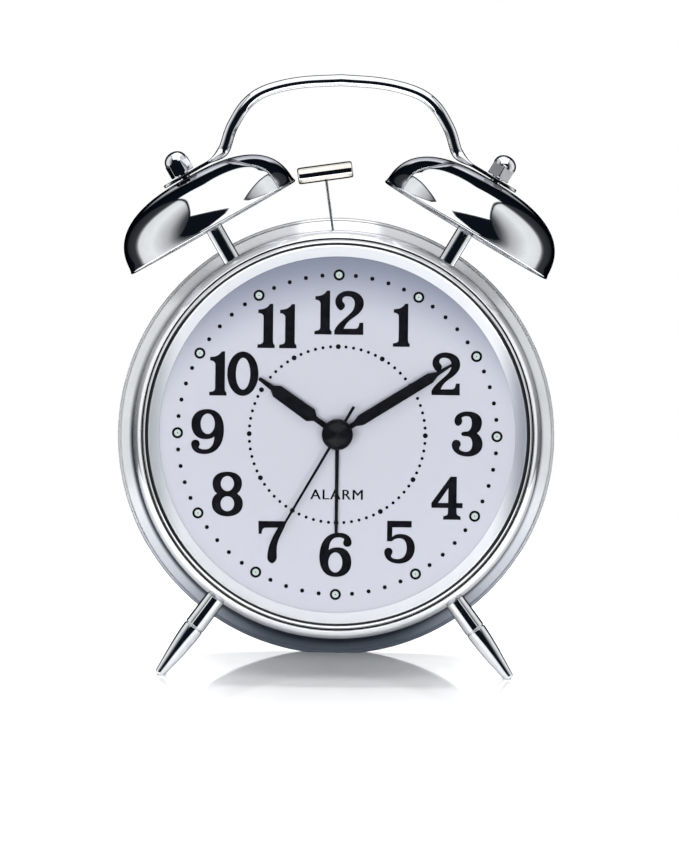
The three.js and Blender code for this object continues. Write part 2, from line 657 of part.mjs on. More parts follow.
add('movement_front_plate', movementFrontPlate(), 0x2a2b2e, PLASTIC);
add('movement_housing', movementHousing(), 0x1c1d20, PLASTIC);
add('train_bridge', trainBridge(), NYLON_COLOUR, PLASTIC);
add('rotor', rotor(), 0x6f7378, STEEL);
add('intermediate_wheel', intermediateWheel(), NYLON_COLOUR, PLASTIC);
add('second_wheel', secondWheel(), NYLON_COLOUR, PLASTIC);
add('third_wheel', thirdWheel(), NYLON_COLOUR, PLASTIC);
add('minute_wheel', minuteWheel(), BRASS_COLOUR, STEEL);
add('motion_wheel', motionWheel(), NYLON_COLOUR, PLASTIC);
add('hour_wheel', hourTubeWheel, BRASS_COLOUR, STEEL);
add('alarm_wheel', alarmTubeWheel, BRASS_COLOUR, STEEL);
add('alarm_setting_shaft', alarmSettingShaft(), NYLON_COLOUR, PLASTIC);
add('stator', stator(), 0x8d9094, STEEL);
add('coil', coil(), 0xa8552c, { roughness: 0.4, metalness: 0.8 });
add('circuit_board', box(-14, 14, 30, 31, 7, 16), 0x1f5a34, PLASTIC);

// ---------------------------------------------------------------- battery

const BATTERY_Y = 30;
const BATTERY_Z = -28;
const alongX = (geometry) => geometry.rotateZ(-Math.PI / 2).translate(0, BATTERY_Y, BATTERY_Z);

function batteryCell() {
  const can = [[0, -24.9], [6.8, -24.9], [7.1, -24.6], [7.1, 24], [6.8, 24.3]];
  const button = [[2.7, 24.3], [2.7, 25.2], [0, 25.2]];
  return alongX(turned([...can, ...button], 20));
}

function batteryContact(profile, x0, x1) {
  const leaf = box(x0, x1, BATTERY_Y - 5, BATTERY_Y + 5, BATTERY_Z - 5, BATTERY_Z + 5);
  return joined(leaf, alongX(turned(profile, 12)));
}

const springProfile = [[0, -27], [4.2, -27], [3, -25.2], [0, -25.2]];
const buttonProfile = [[0, 25.5], [1.6, 25.5], [2.6, 27], [0, 27]];

add('battery_cell', batteryCell(), 0x3b3f45, { roughness: 0.4, metalness: 0.4 });
add('battery_contact_negative', batteryContact(springProfile, -27.2, -26.7), CHROME_COLOUR, STEEL);
add('battery_contact_positive', batteryContact(buttonProfile, 26.7, 27.2), CHROME_COLOUR, STEEL);

// ---------------------------------------------------------------- rear cover, knobs, switch and door

const DOOR = { halfWidth: 27, bottom: -37, top: -19 };
const SWITCH_Z = 16;
const SWITCH_TRAVEL = 5;
const KNOB_FRONT = 46;
const KNOB_REAR = 54;

function rearCover() {
  const rim = COVER_RADIUS;
  const disc = turned([
    [0, COVER_FRONT],
    [rim - 0.6, COVER_FRONT],
    [rim, COVER_FRONT + 0.6],
    [rim, COVER_REAR],
    [0, COVER_REAR],
  ]);
  const bosses = SCREW_POSITIONS.map((at) => bar(3.2, HOUSING_REAR + GAP, COVER_FRONT + 0.5, at, 12));
  const screwHoles = SCREW_POSITIONS.map((at) => bar(1.5, 37, 46, at, 12));
  const headHoles = SCREW_POSITIONS.map((at) => bar(2.9, 43.9, 46, at, 16));
  const shaftHoles = [MOTION_ARBOR, ALARM_ARBOR].map((at) => bar(SETTING_SHAFT + 0.4, 42, 46, at, 14));
  const doorway = box(-DOOR.halfWidth, DOOR.halfWidth, 42, 46, DOOR.bottom, DOOR.top);
  const switchSlot = box(-4.1, 4.1, 42, 46, SWITCH_Z - 1.3, SWITCH_Z + 1.3);
  return cut(joined(disc, ...bosses), ...screwHoles, ...headHoles, ...shaftHoles, doorway, switchSlot);
}

function batteryDoor() {
  const [x, z0, z1] = [DOOR.halfWidth - GAP, DOOR.bottom + GAP, DOOR.top - GAP];
  const leaf = box(-x, x, COVER_FRONT, COVER_REAR, z0, z1);
  const catchTab = box(-4, 4, 41.4, COVER_FRONT + 0.5, z1 - 2, z1 - 0.8);
  const fingerDip = box(-6, 6, COVER_REAR - 1, COVER_REAR + 1, z1 - 5.5, z1 - 2.5);
  return cut(joined(leaf, catchTab), fingerDip);
}

function settingKnob(at) {
  const [x, z] = at;
  const profile = [
    [0, KNOB_FRONT], [KNOB_RADIUS - 0.6, KNOB_FRONT], [KNOB_RADIUS, KNOB_FRONT + 0.6],
    [KNOB_RADIUS, KNOB_REAR - 1], [KNOB_RADIUS - 1, KNOB_REAR], [0, KNOB_REAR],
  ];
  const knob = turned(profile, 28).translate(x, 0, z);
  return cut(solid(knob), bar(SETTING_SHAFT + GAP, KNOB_FRONT - 1, 52.3, at, 14));
}

function alarmSwitch() {
  const x = -SWITCH_TRAVEL / 2;
  const stem = box(x - 1.2, x + 1.2, 41.6, 45.8, SWITCH_Z - 1, SWITCH_Z + 1);
  const inside = box(x - 2.2, x + 2.2, 41.2, 42.7, SWITCH_Z - 2, SWITCH_Z + 2);
  const head = box(x - 3, x + 3, COVER_REAR + GAP, 47.5, SWITCH_Z - 2, SWITCH_Z + 2);
  return joined(stem, inside, head);
}

function coverScrew(at) {
  const [x, z] = at;
  const profile = [[0, 29], [1.1, 30], [1.1, 44.1], [2.5, 44.1], [2.4, 45], [1.6, 45.5], [0, 45.6]];
  const blank = solid(turned(profile, 14).translate(x, 0, z));
  const slot = (halfX, halfZ) => box(x - halfX, x + halfX, 44.9, 46, z - halfZ, z + halfZ);
  return cut(blank, slot(1.5, 0.25), slot(0.25, 1.5));
}

add('rear_cover', rearCover(), BLACK, PLASTIC);
add('battery_door', batteryDoor(), BLACK, PLASTIC);
add('time_set_knob', settingKnob(MOTION_ARBOR), BLACK, PLASTIC);
add('alarm_set_knob', settingKnob(ALARM_ARBOR), BLACK, PLASTIC);
add('alarm_switch', alarmSwitch(), BLACK, PLASTIC);
SCREW_POSITIONS.forEach((at, index) => add(`cover_screw_${index + 1}`, coverScrew(at), ZINC_COLOUR, STEEL));

// ---------------------------------------------------------------- origin under the middle of the clock

const standing = new THREE.Group();
standing.add(clock);
standing.updateMatrixWorld(true);
const extent = new THREE.Box3().setFromObject(standing, true);
clock.position.y -= (extent.min.y + extent.max.y) / 2;
clock.position.z -= extent.min.z;

export default standing;
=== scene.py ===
import json
import math

import bmesh
import bpy
from mathutils import Matrix, Vector


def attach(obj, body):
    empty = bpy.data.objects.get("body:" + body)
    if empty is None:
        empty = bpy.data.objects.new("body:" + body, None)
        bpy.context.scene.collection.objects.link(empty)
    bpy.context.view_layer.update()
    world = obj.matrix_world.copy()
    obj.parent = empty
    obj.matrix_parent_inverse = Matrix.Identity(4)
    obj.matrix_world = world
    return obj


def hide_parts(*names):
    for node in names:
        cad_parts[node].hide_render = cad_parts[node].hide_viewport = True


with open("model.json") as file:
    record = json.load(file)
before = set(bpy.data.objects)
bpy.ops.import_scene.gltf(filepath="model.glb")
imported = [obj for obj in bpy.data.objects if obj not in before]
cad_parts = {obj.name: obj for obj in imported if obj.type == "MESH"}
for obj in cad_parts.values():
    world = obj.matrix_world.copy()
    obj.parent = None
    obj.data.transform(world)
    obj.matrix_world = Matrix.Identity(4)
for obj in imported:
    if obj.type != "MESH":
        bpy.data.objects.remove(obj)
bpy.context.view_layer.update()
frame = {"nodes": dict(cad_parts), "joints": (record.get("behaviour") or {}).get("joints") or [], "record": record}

MM = 0.001
SIDES = {"left": -1, "right": 1}

BODY_OF = {n: body for body, nodes in frame["record"]["behaviour"]["bodies"].items() for n in nodes}
JOINTS = {joint["name"]: joint for joint in frame["joints"]}

# ---------------------------------------------------------------- places, from the frame

MOUNT_PLANE = 15.5  # depth of the posts, feet, handle and hammer
DIAL_AXIS = Vector(JOINTS["second_hand_spin"]["axis"])
LEAN = math.atan2(-DIAL_AXIS.z, DIAL_AXIS.y)
DIAL_CENTRE = Vector(JOINTS["second_hand_spin"]["pos_m"]) - DIAL_AXIS * MOUNT_PLANE * MM
CLOCK = Matrix.Translation(DIAL_CENTRE) @ Matrix.Rotation(-LEAN, 4, "X")

BELL_ANGLE = math.radians(30.4)
BELL_OFFSET = 1.2  # the bell axis passes this far outside the dial centre
FOOT_ANGLE = math.radians(36)
HAMMER_LEAN = math.radians(8.4)


def moved(x, y, z):
    return Matrix.Translation((x * MM, y * MM, z * MM))


def radial_place(angle, offset=0.0):
    """A frame whose own y axis points out of the case, at an angle from straight up."""
    start = moved(offset * math.cos(angle), MOUNT_PLANE, -offset * math.sin(angle))
    turn = Matrix.Rotation(angle, 4, "Y") @ Matrix.Rotation(math.pi / 2, 4, "X")
    return CLOCK @ start @ turn


def in_clock(point):
    """A point of the row frame in the clock's own frame, in millimetres."""
    return CLOCK.inverted() @ Vector(point) / MM


def extent(node, place=CLOCK):
    """Lowest and highest corners of a CAD node in a local frame, in millimetres."""
    back = place.inverted()
    points = [back @ vertex.co / MM for vertex in frame["nodes"][node].data.vertices]
    low = Vector([min(p[i] for p in points) for i in range(3)])
    high = Vector([max(p[i] for p in points) for i in range(3)])
    return low, high


def reach(node, place=CLOCK):
    """Radius of a CAD node about its local y axis, in millimetres."""
    low, high = extent(node, place)
    return max(high.x, -low.x, high.z, -low.z)


BELL_PLACE = {name: radial_place(side * BELL_ANGLE, side * BELL_OFFSET) for name, side in SIDES.items()}
FOOT_PLACE = {name: radial_place(side * (math.pi - FOOT_ANGLE)) for name, side in SIDES.items()}
HAMMER_PIVOT = in_clock(JOINTS["hammer_swing"]["pos_m"])
HAMMER_PLACE = CLOCK @ moved(*HAMMER_PIVOT) @ Matrix.Rotation(-HAMMER_LEAN, 4, "Y")

# ---------------------------------------------------------------- outlines


def softened(corners, radius=0.3, steps=4, closed=True):
    """The outline with its corners rounded. A corner may give its own radius as a third number."""
    outline = []
    for i, corner in enumerate(corners):
        here = Vector(corner[:2])
        own = corner[2] if len(corner) > 2 else radius
        at_end = not closed and i in (0, len(corners) - 1)
        if own <= 0 or at_end:
            outline.append(here)
            continue
        sides = [Vector(corners[i - 1][:2]) - here, Vector(corners[(i + 1) % len(corners)][:2]) - here]
        start, end = [here + side.normalized() * min(own, 0.45 * side.length) for side in sides]
        for k in range(steps + 1):
            share = k / steps
            outline.append(start.lerp(here, share).lerp(here.lerp(end, share), share))
    return outline


def arc(x, y, radius, start, end, steps=10):
    """Points round a circle, from one angle to another in degrees."""
    angles = [math.radians(start + (end - start) * k / steps) for k in range(steps + 1)]
    return [(x + radius * math.cos(a), y + radius * math.sin(a)) for a in angles]


def circle(x, z, radius, steps=32):
    return arc(x, z, radius, 0, 360, steps)[:-1]


def ellipse(x, z, half_width, half_height, steps=40):
    return [(x + half_width * cx, z + half_height * cz) for cx, cz in circle(0, 0, 1, steps)]


def drawn(*segments):
    """An outline from points, and from curves given as two controls and an end point."""
    steps = 8
    points = []
    for segment in segments:
        if len(segment) == 2:
            points.append(Vector(segment))
            continue
        start = points[-1]
        first, second, end = Vector(segment[0:2]), Vector(segment[2:4]), Vector(segment[4:6])
        for k in range(1, steps + 1):
            t = k / steps
            one, two, three = start.lerp(first, t), first.lerp(second, t), second.lerp(end, t)
            points.append(one.lerp(two, t).lerp(two.lerp(three, t), t))
    return points


def through(points, steps):
    """A smooth path through the points."""
    points = [Vector(p) for p in points]
    padded = [2 * points[0] - points[1], *points, 2 * points[-1] - points[-2]]
    path = []
    for before, start, end, after in zip(padded, padded[1:], padded[2:], padded[3:]):
        for k in range(steps):
            t = k / steps
            bend = (end - before) * t + (2 * before - 5 * start + 4 * end - after) * t**2
            bend += (3 * start - before - 3 * end + after) * t**3
            path.append(start + bend / 2)
    return [*path, points[-1]]


# ---------------------------------------------------------------- meshes


def mesh_of(work):
    """A mesh from a bmesh, its faces turned outwards."""
    bmesh.ops.recalc_face_normals(work, faces=work.faces)
    mesh = bpy.data.meshes.new("shape")
    work.to_mesh(mesh)
    work.free()
    return mesh


def stitched(work, rings, closed):
    """Faces between neighbouring rings of vertices. A ring may be a single point."""
    count = max(len(ring) for ring in rings)
    pairs = zip(rings, rings[1:] + (rings[:1] if closed else []))
    for one, two in pairs:
        for i in range(count):
            first = [one[i % len(one)], one[(i + 1) % len(one)]]
            second = [two[(i + 1) % len(two)], two[i % len(two)]]
            corners = list(dict.fromkeys(first + second))
            if len(corners) > 2:
                work.faces.new(corners)


def turned(profile, segments=160, ribs=0, rib_depth=0.0, ribbed_from=0.0):
    """A turned piece about the y axis from a profile of radius and y. Ribs run down its outer face."""
    work = bmesh.new()
    rings = []
    for radius, y in profile:
        if radius < 1e-6:
            rings.append([work.verts.new((0, y, 0))])
            continue
        ring = []
        for i in range(segments):
            angle = 2 * math.pi * i / segments
            depth = rib_depth * (0.5 + 0.5 * math.cos(ribs * angle)) if radius >= ribbed_from else 0
            size = radius - depth
            ring.append(work.verts.new((size * math.cos(angle), y, size * math.sin(angle))))
        rings.append(ring)
    stitched(work, rings, closed=len(rings[0]) > 1)
    return mesh_of(work)


def filled(contours, front, rear, bevel=0.0):
    """A flat piece drawn in x and z, with bevelled edges, from front to rear in y."""
    curve = bpy.data.curves.new("outline", "CURVE")
    curve.dimensions = "2D"
    curve.fill_mode = "BOTH"
    for contour in contours:
        spline = curve.splines.new("POLY")
        spline.points.add(len(contour) - 1)
        for point, (x, z) in zip(spline.points, contour):
            point.co = (x, z, 0, 1)
        spline.use_cyclic_u = True
    curve.extrude = (rear - front) / 2 - bevel
    curve.bevel_depth = bevel
    curve.bevel_resolution = 2
    curve.offset = -bevel
    holder = bpy.data.objects.new("outline", curve)
    mesh = bpy.data.meshes.new_from_object(holder)
    bpy.data.objects.remove(holder)
    mesh.transform(Matrix.Translation((0, (front + rear) / 2, 0)) @ Matrix.Rotation(math.pi / 2, 4, "X"))
    work = bmesh.new()
    work.from_mesh(mesh)
    bmesh.ops.remove_doubles(work, verts=work.verts, dist=1e-4)
    return mesh_of(work)


def swept(path, half_width, half_thickness, squareness, sides=32):
    """A bar along a path in x and z. Its section is given at each point of the path."""
    work = bmesh.new()
    rings = []
    for i, here in enumerate(path):
        along = (path[min(i + 1, len(path) - 1)] - path[max(i - 1, 0)]).normalized()
        across = Vector((-along.y, along.x))
        power = 2 / squareness[i]
        ring = []
        for k in range(sides):
            cos, sin = math.cos(2 * math.pi * k / sides), math.sin(2 * math.pi * k / sides)
            wide = half_width[i] * math.copysign(abs(cos) ** power, cos)
            thick = half_thickness[i] * math.copysign(abs(sin) ** power, sin)
            at = here + across * thick
            ring.append(work.verts.new((at.x, wide, at.y)))
        rings.append(ring)
    stitched(work, rings, closed=False)
    for end in (rings[0], rings[-1]):
        work.faces.new(end)
    return mesh_of(work)


def joined(*meshes):
    """One mesh of several."""
    work = bmesh.new()
    for mesh in meshes:
        work.from_mesh(mesh)
    result = bpy.data.meshes.new("shape")
    work.to_mesh(result)
    work.free()
    return result


def placed(mesh, matrix):
    copy = mesh.copy()
    copy.transform(matrix)
    return copy


def worked(mesh, operation, *tools):
    """The mesh after boolean operations with other meshes."""
    base = bpy.data.objects.new("base", mesh)
    bpy.context.scene.collection.objects.link(base)
    helpers = []
    for tool in tools:
        helper = bpy.data.objects.new("tool", tool)
        bpy.context.scene.collection.objects.link(helper)
        step = base.modifiers.new("cut", "BOOLEAN")
        step.operation = operation
        step.solver = "EXACT"
        step.object = helper
        helpers.append(helper)
    bpy.context.view_layer.update()
    graph = bpy.context.evaluated_depsgraph_get()
    result = bpy.data.meshes.new_from_object(base.evaluated_get(graph))
    for spare in [base, *helpers]:
        bpy.data.objects.remove(spare)
    return result


def sliced(mesh, point, normal):
    """The mesh with everything beyond a plane cut away and the cut closed."""
    work = bmesh.new()
    work.from_mesh(mesh)
    parts = [*work.verts, *work.edges, *work.faces]
    bmesh.ops.bisect_plane(work, geom=parts, plane_co=point, plane_no=normal, clear_outer=True)
    bmesh.ops.holes_fill(work, edges=[edge for edge in work.edges if edge.is_boundary])
    return mesh_of(work)


def stood(mesh, place):
    """The mesh cut flat where it meets the ground, for a piece that is put at a place."""
    back = place.inverted()
    down = back.to_3x3() @ Vector((0, 0, -1))
    return sliced(mesh, back.translation / MM, down.normalized())


def rectangle(x0, x1, z0, z1):
    return [(x0, z0), (x1, z0), (x1, z1), (x0, z1)]


def brick(x0, x1, y0, y1, z0, z1, bevel=0.0):
    return filled([softened(rectangle(x0, x1, z0, z1), bevel)], y0, y1, bevel)


def pin(radius, front, rear, x, z):
    return filled([circle(x, z, radius)], front, rear)


# ---------------------------------------------------------------- pieces


def finished(mesh):
    """Smooth shading that keeps the sharp edges."""
    mesh.polygons.foreach_set("use_smooth", [True] * len(mesh.polygons))
    mesh.set_sharp_from_angle(angle=math.radians(35))
    return mesh


def weighted(shown):
    """Normals that keep flat faces flat beside eased edges."""
    weights = shown.modifiers.new("weighted normals", "WEIGHTED_NORMAL")
    weights.keep_sharp = True


def piece(name, mesh, material, place=CLOCK, stands_for=(), body=None):
    """A visible piece that rides on a body and may stand for CAD nodes."""
    mesh.transform(Matrix.Scale(MM, 4))
    made = bpy.data.objects.new(name, finished(mesh))
    bpy.context.scene.collection.objects.link(made)
    made.matrix_world = place
    made.data.materials.clear()
    made.data.materials.append(material)
    weighted(made)
    nodes = [stands_for] if isinstance(stands_for, str) else list(stands_for)
    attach(made, body or BODY_OF[nodes[0]])
    if nodes:
        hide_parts(*nodes)


def dressed(node, material, bevel=0.08):
    """A CAD node shown as it is, with eased edges and a better material."""
    shown = frame["nodes"][node]
    shown.data.materials.clear()
    shown.data.materials.append(material)
    weld = shown.modifiers.new("weld", "WELD")
    weld.merge_threshold = 0.000002
    ease = shown.modifiers.new("eased edges", "BEVEL")
    ease.width = bevel * MM
    ease.segments = 2
    ease.limit_method = "ANGLE"
    ease.angle_limit = math.radians(40)
    ease.harden_normals = False
    weighted(shown)


# ---------------------------------------------------------------- materials


class Graph:
    """Helpers for a node tree."""

    def __init__(self, tree):
        self.tree = tree

    def node(self, kind, **settings):
        made = self.tree.nodes.new(kind)
        for key, value in settings.items():
            setattr(made, key, value)
        return made

    def put(self, target, value):
        """Connects a socket, or sets a plain value."""
        if isinstance(value, bpy.types.NodeSocket):
            self.tree.links.new(value, target)
        elif isinstance(value, tuple) and len(value) == 3 and target.type == "RGBA":
            target.default_value = (*value, 1)
        else:
            target.default_value = value

    def math(self, operation, *values):
        made = self.node("ShaderNodeMath", operation=operation)
        for target, value in zip(made.inputs, values):
            self.put(target, value)
        return made.outputs[0]

    def product(self, first, *others):
        for other in others:
            first = self.math("MULTIPLY", first, other)
        return first

    def length(self, first, second):
        return self.math("SQRT", self.math("ADD", self.product(first, first), self.product(second, second)))

    def spread(self, value, low, high, source=(0.3, 0.7)):
        """The value, brought from its source range to low and high."""
        made = self.node("ShaderNodeMapRange")
        self.put(made.inputs["Value"], value)
        made.inputs["From Min"].default_value = source[0]
        made.inputs["From Max"].default_value = source[1]
        made.inputs["To Min"].default_value = low
        made.inputs["To Max"].default_value = high
        return made.outputs["Result"]

    def step(self, value, low, high):
        """Rises smoothly from 0 at low to 1 at high, or falls where high comes first."""
        made = self.node("ShaderNodeMapRange", interpolation_type="SMOOTHSTEP")
        for target, number in zip(made.inputs, (value, low, high)):
            self.put(target, number)
        return made.outputs["Result"]

    def blend(self, share, first, second, mode="MIX"):
        made = self.node("ShaderNodeMix", data_type="RGBA", blend_type=mode)
        self.put(made.inputs[0], share)
        self.put(made.inputs[6], first)
        self.put(made.inputs[7], second)
        return made.outputs[2]


class Finish(Graph):
    """A material's node graph, built in millimetres of the piece's own frame."""

    def __init__(self, name, colour, metallic, roughness):
        self.material = bpy.data.materials.new(name)
        self.material.use_nodes = True
        self.material.diffuse_color = (*colour, 1)
        super().__init__(self.material.node_tree)
        self.shader = self.tree.nodes["Principled BSDF"]
        self.shader.inputs["Base Color"].default_value = (*colour, 1)
        self.shader.inputs["Metallic"].default_value = metallic
        self.shader.inputs["Roughness"].default_value = roughness
        coordinates = self.node("ShaderNodeTexCoord")
        self.position = self.node("ShaderNodeVectorMath", operation="SCALE")
        self.tree.links.new(coordinates.outputs["Object"], self.position.inputs[0])
        self.position.inputs["Scale"].default_value = 1 / MM

    def stretched(self, x, y, z):
        """The position, with each of its axes scaled."""
        scaled = self.node("ShaderNodeVectorMath", operation="MULTIPLY")
        self.put(scaled.inputs[0], self.position.outputs[0])
        scaled.inputs[1].default_value = (x, y, z)
        return scaled.outputs[0]

    def noise(self, per_mm, detail=3.0, vector=None):
        made = self.node("ShaderNodeTexNoise")
        self.put(made.inputs["Vector"], vector or self.position.outputs[0])
        made.inputs["Scale"].default_value = per_mm
        made.inputs["Detail"].default_value = detail
        made.inputs["Roughness"].default_value = 0.55
        return made.outputs["Fac"]

    def axis_parts(self):
        """x, y and z of the position, and the distance from the y axis."""
        parts = self.node("ShaderNodeSeparateXYZ")
        self.put(parts.inputs[0], self.position.outputs[0])
        x, y, z = parts.outputs
        return x, y, z, self.length(x, z)

    def bumped(self, height, depth_mm, strength=1.0):
        made = self.node("ShaderNodeBump")
        made.inputs["Strength"].default_value = strength
        made.inputs["Distance"].default_value = depth_mm * MM
        self.put(made.inputs["Height"], height)
        if self.shader.inputs["Normal"].is_linked:
            self.put(made.inputs["Normal"], self.shader.inputs["Normal"].links[0].from_socket)
        self.put(self.shader.inputs["Normal"], made.outputs[0])

    def colour(self, share, first, second):
        self.put(self.shader.inputs["Base Color"], self.blend(share, first, second))

    def painted(self, share, colour):
        """Covers a share of what is there with another colour."""
        under = self.shader.inputs["Base Color"].links[0].from_socket
        self.colour(share, under, colour)

    def rough(self, value, low, high, source=(0.3, 0.7)):
        self.put(self.shader.inputs["Roughness"], self.spread(value, low, high, source))

    def clouded(self, cloud, low, high, first, second):
        """Roughness and colour that both follow one noise."""
        self.rough(cloud, low, high)
        self.colour(self.spread(cloud, 0, 1), first, second)


def painted_rim_shade(made, dark=(0.1, 0.11, 0.13), start=0.5, end=0.82):
    """Paints a darker colour where a metal turns away from the eye: painted shade at its rims, standing in for the
    dark surroundings that polished rods reflect there.
    """
    facing = made.node("ShaderNodeLayerWeight")
    facing.inputs["Blend"].default_value = 0.5
    made.painted(made.step(facing.outputs["Facing"], start, end), dark)
    made.shader.inputs["Specular Tint"].default_value = (0.2, 0.2, 0.22, 1)
    return made


def chrome(name):
    """Mirror plating with faint handling marks, and a painted dark rim where it turns from the eye."""
    tint = (0.93, 0.94, 0.96)
    made = Finish(name, tint, 1.0, 0.02)
    made.rough(made.noise(0.12, 4), 0.02, 0.07, (0.35, 0.75))
    made.colour(made.spread(made.noise(0.3, 2), 0, 1), tint, tuple(0.94 * c for c in tint))
    made.bumped(made.noise(0.5, 2), 0.0012, 0.2)
    return painted_rim_shade(made, (0.12, 0.13, 0.15), 0.84, 0.96).material


def bezel_chrome(name):
    """Softer bright plating, with painted shade: black in the groove and on the inner wall at each side, and a
    painted dark rim where it turns from the eye.
    """
    made = Finish(name, (0.9, 0.91, 0.93), 0.85, 0.12)
    made.rough(made.noise(0.12, 4), 0.1, 0.16, (0.35, 0.75))
    x, _, z, flat = made.axis_parts()
    made.colour(made.spread(made.noise(0.3, 2), 0, 1), (0.86, 0.87, 0.89), (0.8, 0.81, 0.83))
    aside = made.step(made.math("ABSOLUTE", x), 30, 44)
    # Painted shade: black on the inner wall at each side.
    made.painted(made.product(aside, made.step(flat, 50.6, 50.4)), (0.015, 0.015, 0.02))
    # Painted shade: black in the fine groove.
    groove = made.product(made.step(flat, 51.02, 51.06), made.step(flat, 51.48, 51.44))
    made.painted(groove, (0.01, 0.01, 0.012))
    made.put(made.shader.inputs["Metallic"], made.spread(z, 0.85, 0.62, (0, 22)))
    made.bumped(made.noise(0.5, 2), 0.0012, 0.2)
    return painted_rim_shade(made, (0.12, 0.13, 0.15), 0.84, 0.96).material


def rod_chrome(name):
    """Plated rod: a mirror with painted dark outlines where it turns from the eye."""
    made = Finish(name, (0.93, 0.94, 0.96), 1.0, 0.05)
    made.rough(made.noise(0.5, 3), 0.03, 0.1)
    made.colour(made.spread(made.noise(0.6, 3), 0, 1), (0.94, 0.95, 0.97), (0.85, 0.86, 0.89))
    made.bumped(made.noise(0.6, 2), 0.0004, 0.2)
    return painted_rim_shade(made).material


def brushed_plating(name):
    """Satin plating brushed round the case, with painted light: a painted highlight makes the crest bright,
    painted reflections make the flare's shoulders grey, painted shade dims the flare towards its foot and beside
    the bezel, and a painted dark rim shows where it turns from the eye."""
    made = Finish(name, (0.84, 0.86, 0.89), 0.65, 0.12)
    x, y, z, flat = made.axis_parts()
    round_lines = made.node("ShaderNodeCombineXYZ")
    made.put(round_lines.inputs[0], made.math("MULTIPLY", flat, 14.0))
    made.put(round_lines.inputs[1], made.math("MULTIPLY", y, 14.0))
    lines = made.noise(1.0, 3, round_lines.outputs[0])
    made.rough(lines, 0.2, 0.28)
    made.colour(made.spread(made.noise(0.15, 3), 0, 1), (0.7, 0.71, 0.725), (0.64, 0.65, 0.665))
    aside = made.math("ABSOLUTE", x)
    flare = made.step(flat, 52.8, 53.2)
    # Painted highlight on the crest.
    made.painted(made.product(made.step(aside, 12, 8), made.step(z, 0, 20)), (0.95, 0.95, 0.96))
    # Painted grey reflection on the flare's shoulders.
    made.painted(made.product(flare, made.step(aside, 9, 13), made.step(z, 33, 38)), (0.47, 0.47, 0.48))
    # Painted shade, deepening towards the flare's foot and darkest on its underside.
    made.painted(made.product(flare, made.step(z, -2, -42)), (0.36, 0.38, 0.42))
    painted_under_shade = made.product(flare, made.step(z, -36, -54))
    made.painted(painted_under_shade, (0.1, 0.12, 0.15))
    # Painted shadow line on the flare beside the bezel, deepest at the bottom.
    painted_bezel_shadow = made.product(flare, made.step(flat, 54.8, 53.7), made.spread(z, 1.0, 0.4, (0, 35)))
    made.painted(painted_bezel_shadow, (0.03, 0.035, 0.045))
    # Deeper painted shade where the flare's underside meets the bezel.
    made.painted(made.product(painted_under_shade, made.step(flat, 56.0, 53.6)), (0.018, 0.024, 0.036))
    made.bumped(lines, 0.0015, 0.3)
    return painted_rim_shade(made, (0.12, 0.13, 0.15), 0.5, 0.8).material


def steel(name):
    """Zinc plated steel with a crystalline cloud and drawn lines."""
    tint = (0.66, 0.67, 0.68)
    made = Finish(name, tint, 1.0, 0.22)
    made.clouded(made.noise(0.5, 4), 0.22, 0.38, tint, tuple(0.82 * c for c in tint))
    made.bumped(made.noise(2.0, 3, made.stretched(1, 7, 1)), 0.006, 0.4)
    return made.material


def nickel(name):
    """Turned nickel with fine tool rings, and a painted dark rim where it turns from the eye."""
    made = Finish(name, (0.9, 0.87, 0.81), 1.0, 0.06)
    rings = made.noise(1.0, 2, made.stretched(9, 0.4, 0.4))
    made.rough(rings, 0.04, 0.1)
    made.colour(made.spread(made.noise(0.4, 3), 0, 1), (0.92, 0.89, 0.83), (0.84, 0.8, 0.73))
    made.bumped(rings, 0.002, 0.3)
    return painted_rim_shade(made, (0.09, 0.08, 0.06), 0.33, 0.52).material


def brass(name):
    """Stamped brass with a light tarnish."""
    tint = (0.8, 0.62, 0.27)
    made = Finish(name, tint, 1.0, 0.2)
    made.clouded(made.noise(0.6, 4), 0.14, 0.32, tint, tuple(0.8 * c for c in tint))
    made.bumped(made.noise(4.0, 2), 0.004, 0.4)
    return made.material


def moulded(name, colour, low, high, grain_mm=0.25):
    """Moulded plastic with a fine spark-eroded grain and slight colour drift."""
    made = Finish(name, colour, 0.0, low)
    made.rough(made.noise(0.2, 3), low, high)
    lighter = tuple(min(1.0, 1.25 * c + 0.004) for c in colour)
    made.colour(made.spread(made.noise(0.35, 4), 0, 1), colour, lighter)
    made.bumped(made.noise(1 / grain_mm, 3), 0.012, 0.5)
    return made.material


def cone_white(name):
    """White moulding with painted shade at each side of the opening."""
    made = Finish(name, (0.97, 0.97, 0.97), 0.0, 0.2)
    made.rough(made.noise(0.2, 3), 0.16, 0.26)
    x = made.axis_parts()[0]
    made.colour(made.spread(made.noise(0.35, 4), 0, 1), (0.97, 0.97, 0.97), (0.94, 0.94, 0.945))
    # Painted shade at the left and right of the opening, deeper on the right.
    made.painted(made.step(x, -40, -49), (0.5, 0.53, 0.54))
    made.painted(made.step(x, 40, 49), (0.32, 0.33, 0.37))
    made.bumped(made.noise(1.2, 3), 0.004, 0.5)
    return made.material


def enamel(name, gloss, low=0.4, high=0.52):
    """Black enamel with a slight orange peel."""
    made = Finish(name, (0.004, 0.004, 0.005), 0.0, 0.38)
    made.shader.inputs["Specular IOR Level"].default_value = gloss
    peel = made.noise(1.6, 2)
    made.rough(peel, low, high)
    made.colour(made.spread(made.noise(0.5, 3), 0, 1), (0.003, 0.003, 0.004), (0.007, 0.007, 0.009))
    made.bumped(peel, 0.006, 0.4)
    return made.material


def rubber(name):
    """Matt black rubber."""
    made = Finish(name, (0.006, 0.006, 0.007), 0.0, 0.6)
    grain = made.noise(3.0, 4)
    made.clouded(grain, 0.5, 0.72, (0.005, 0.005, 0.006), (0.012, 0.012, 0.013))
    made.bumped(grain, 0.02, 0.5)
    return made.material


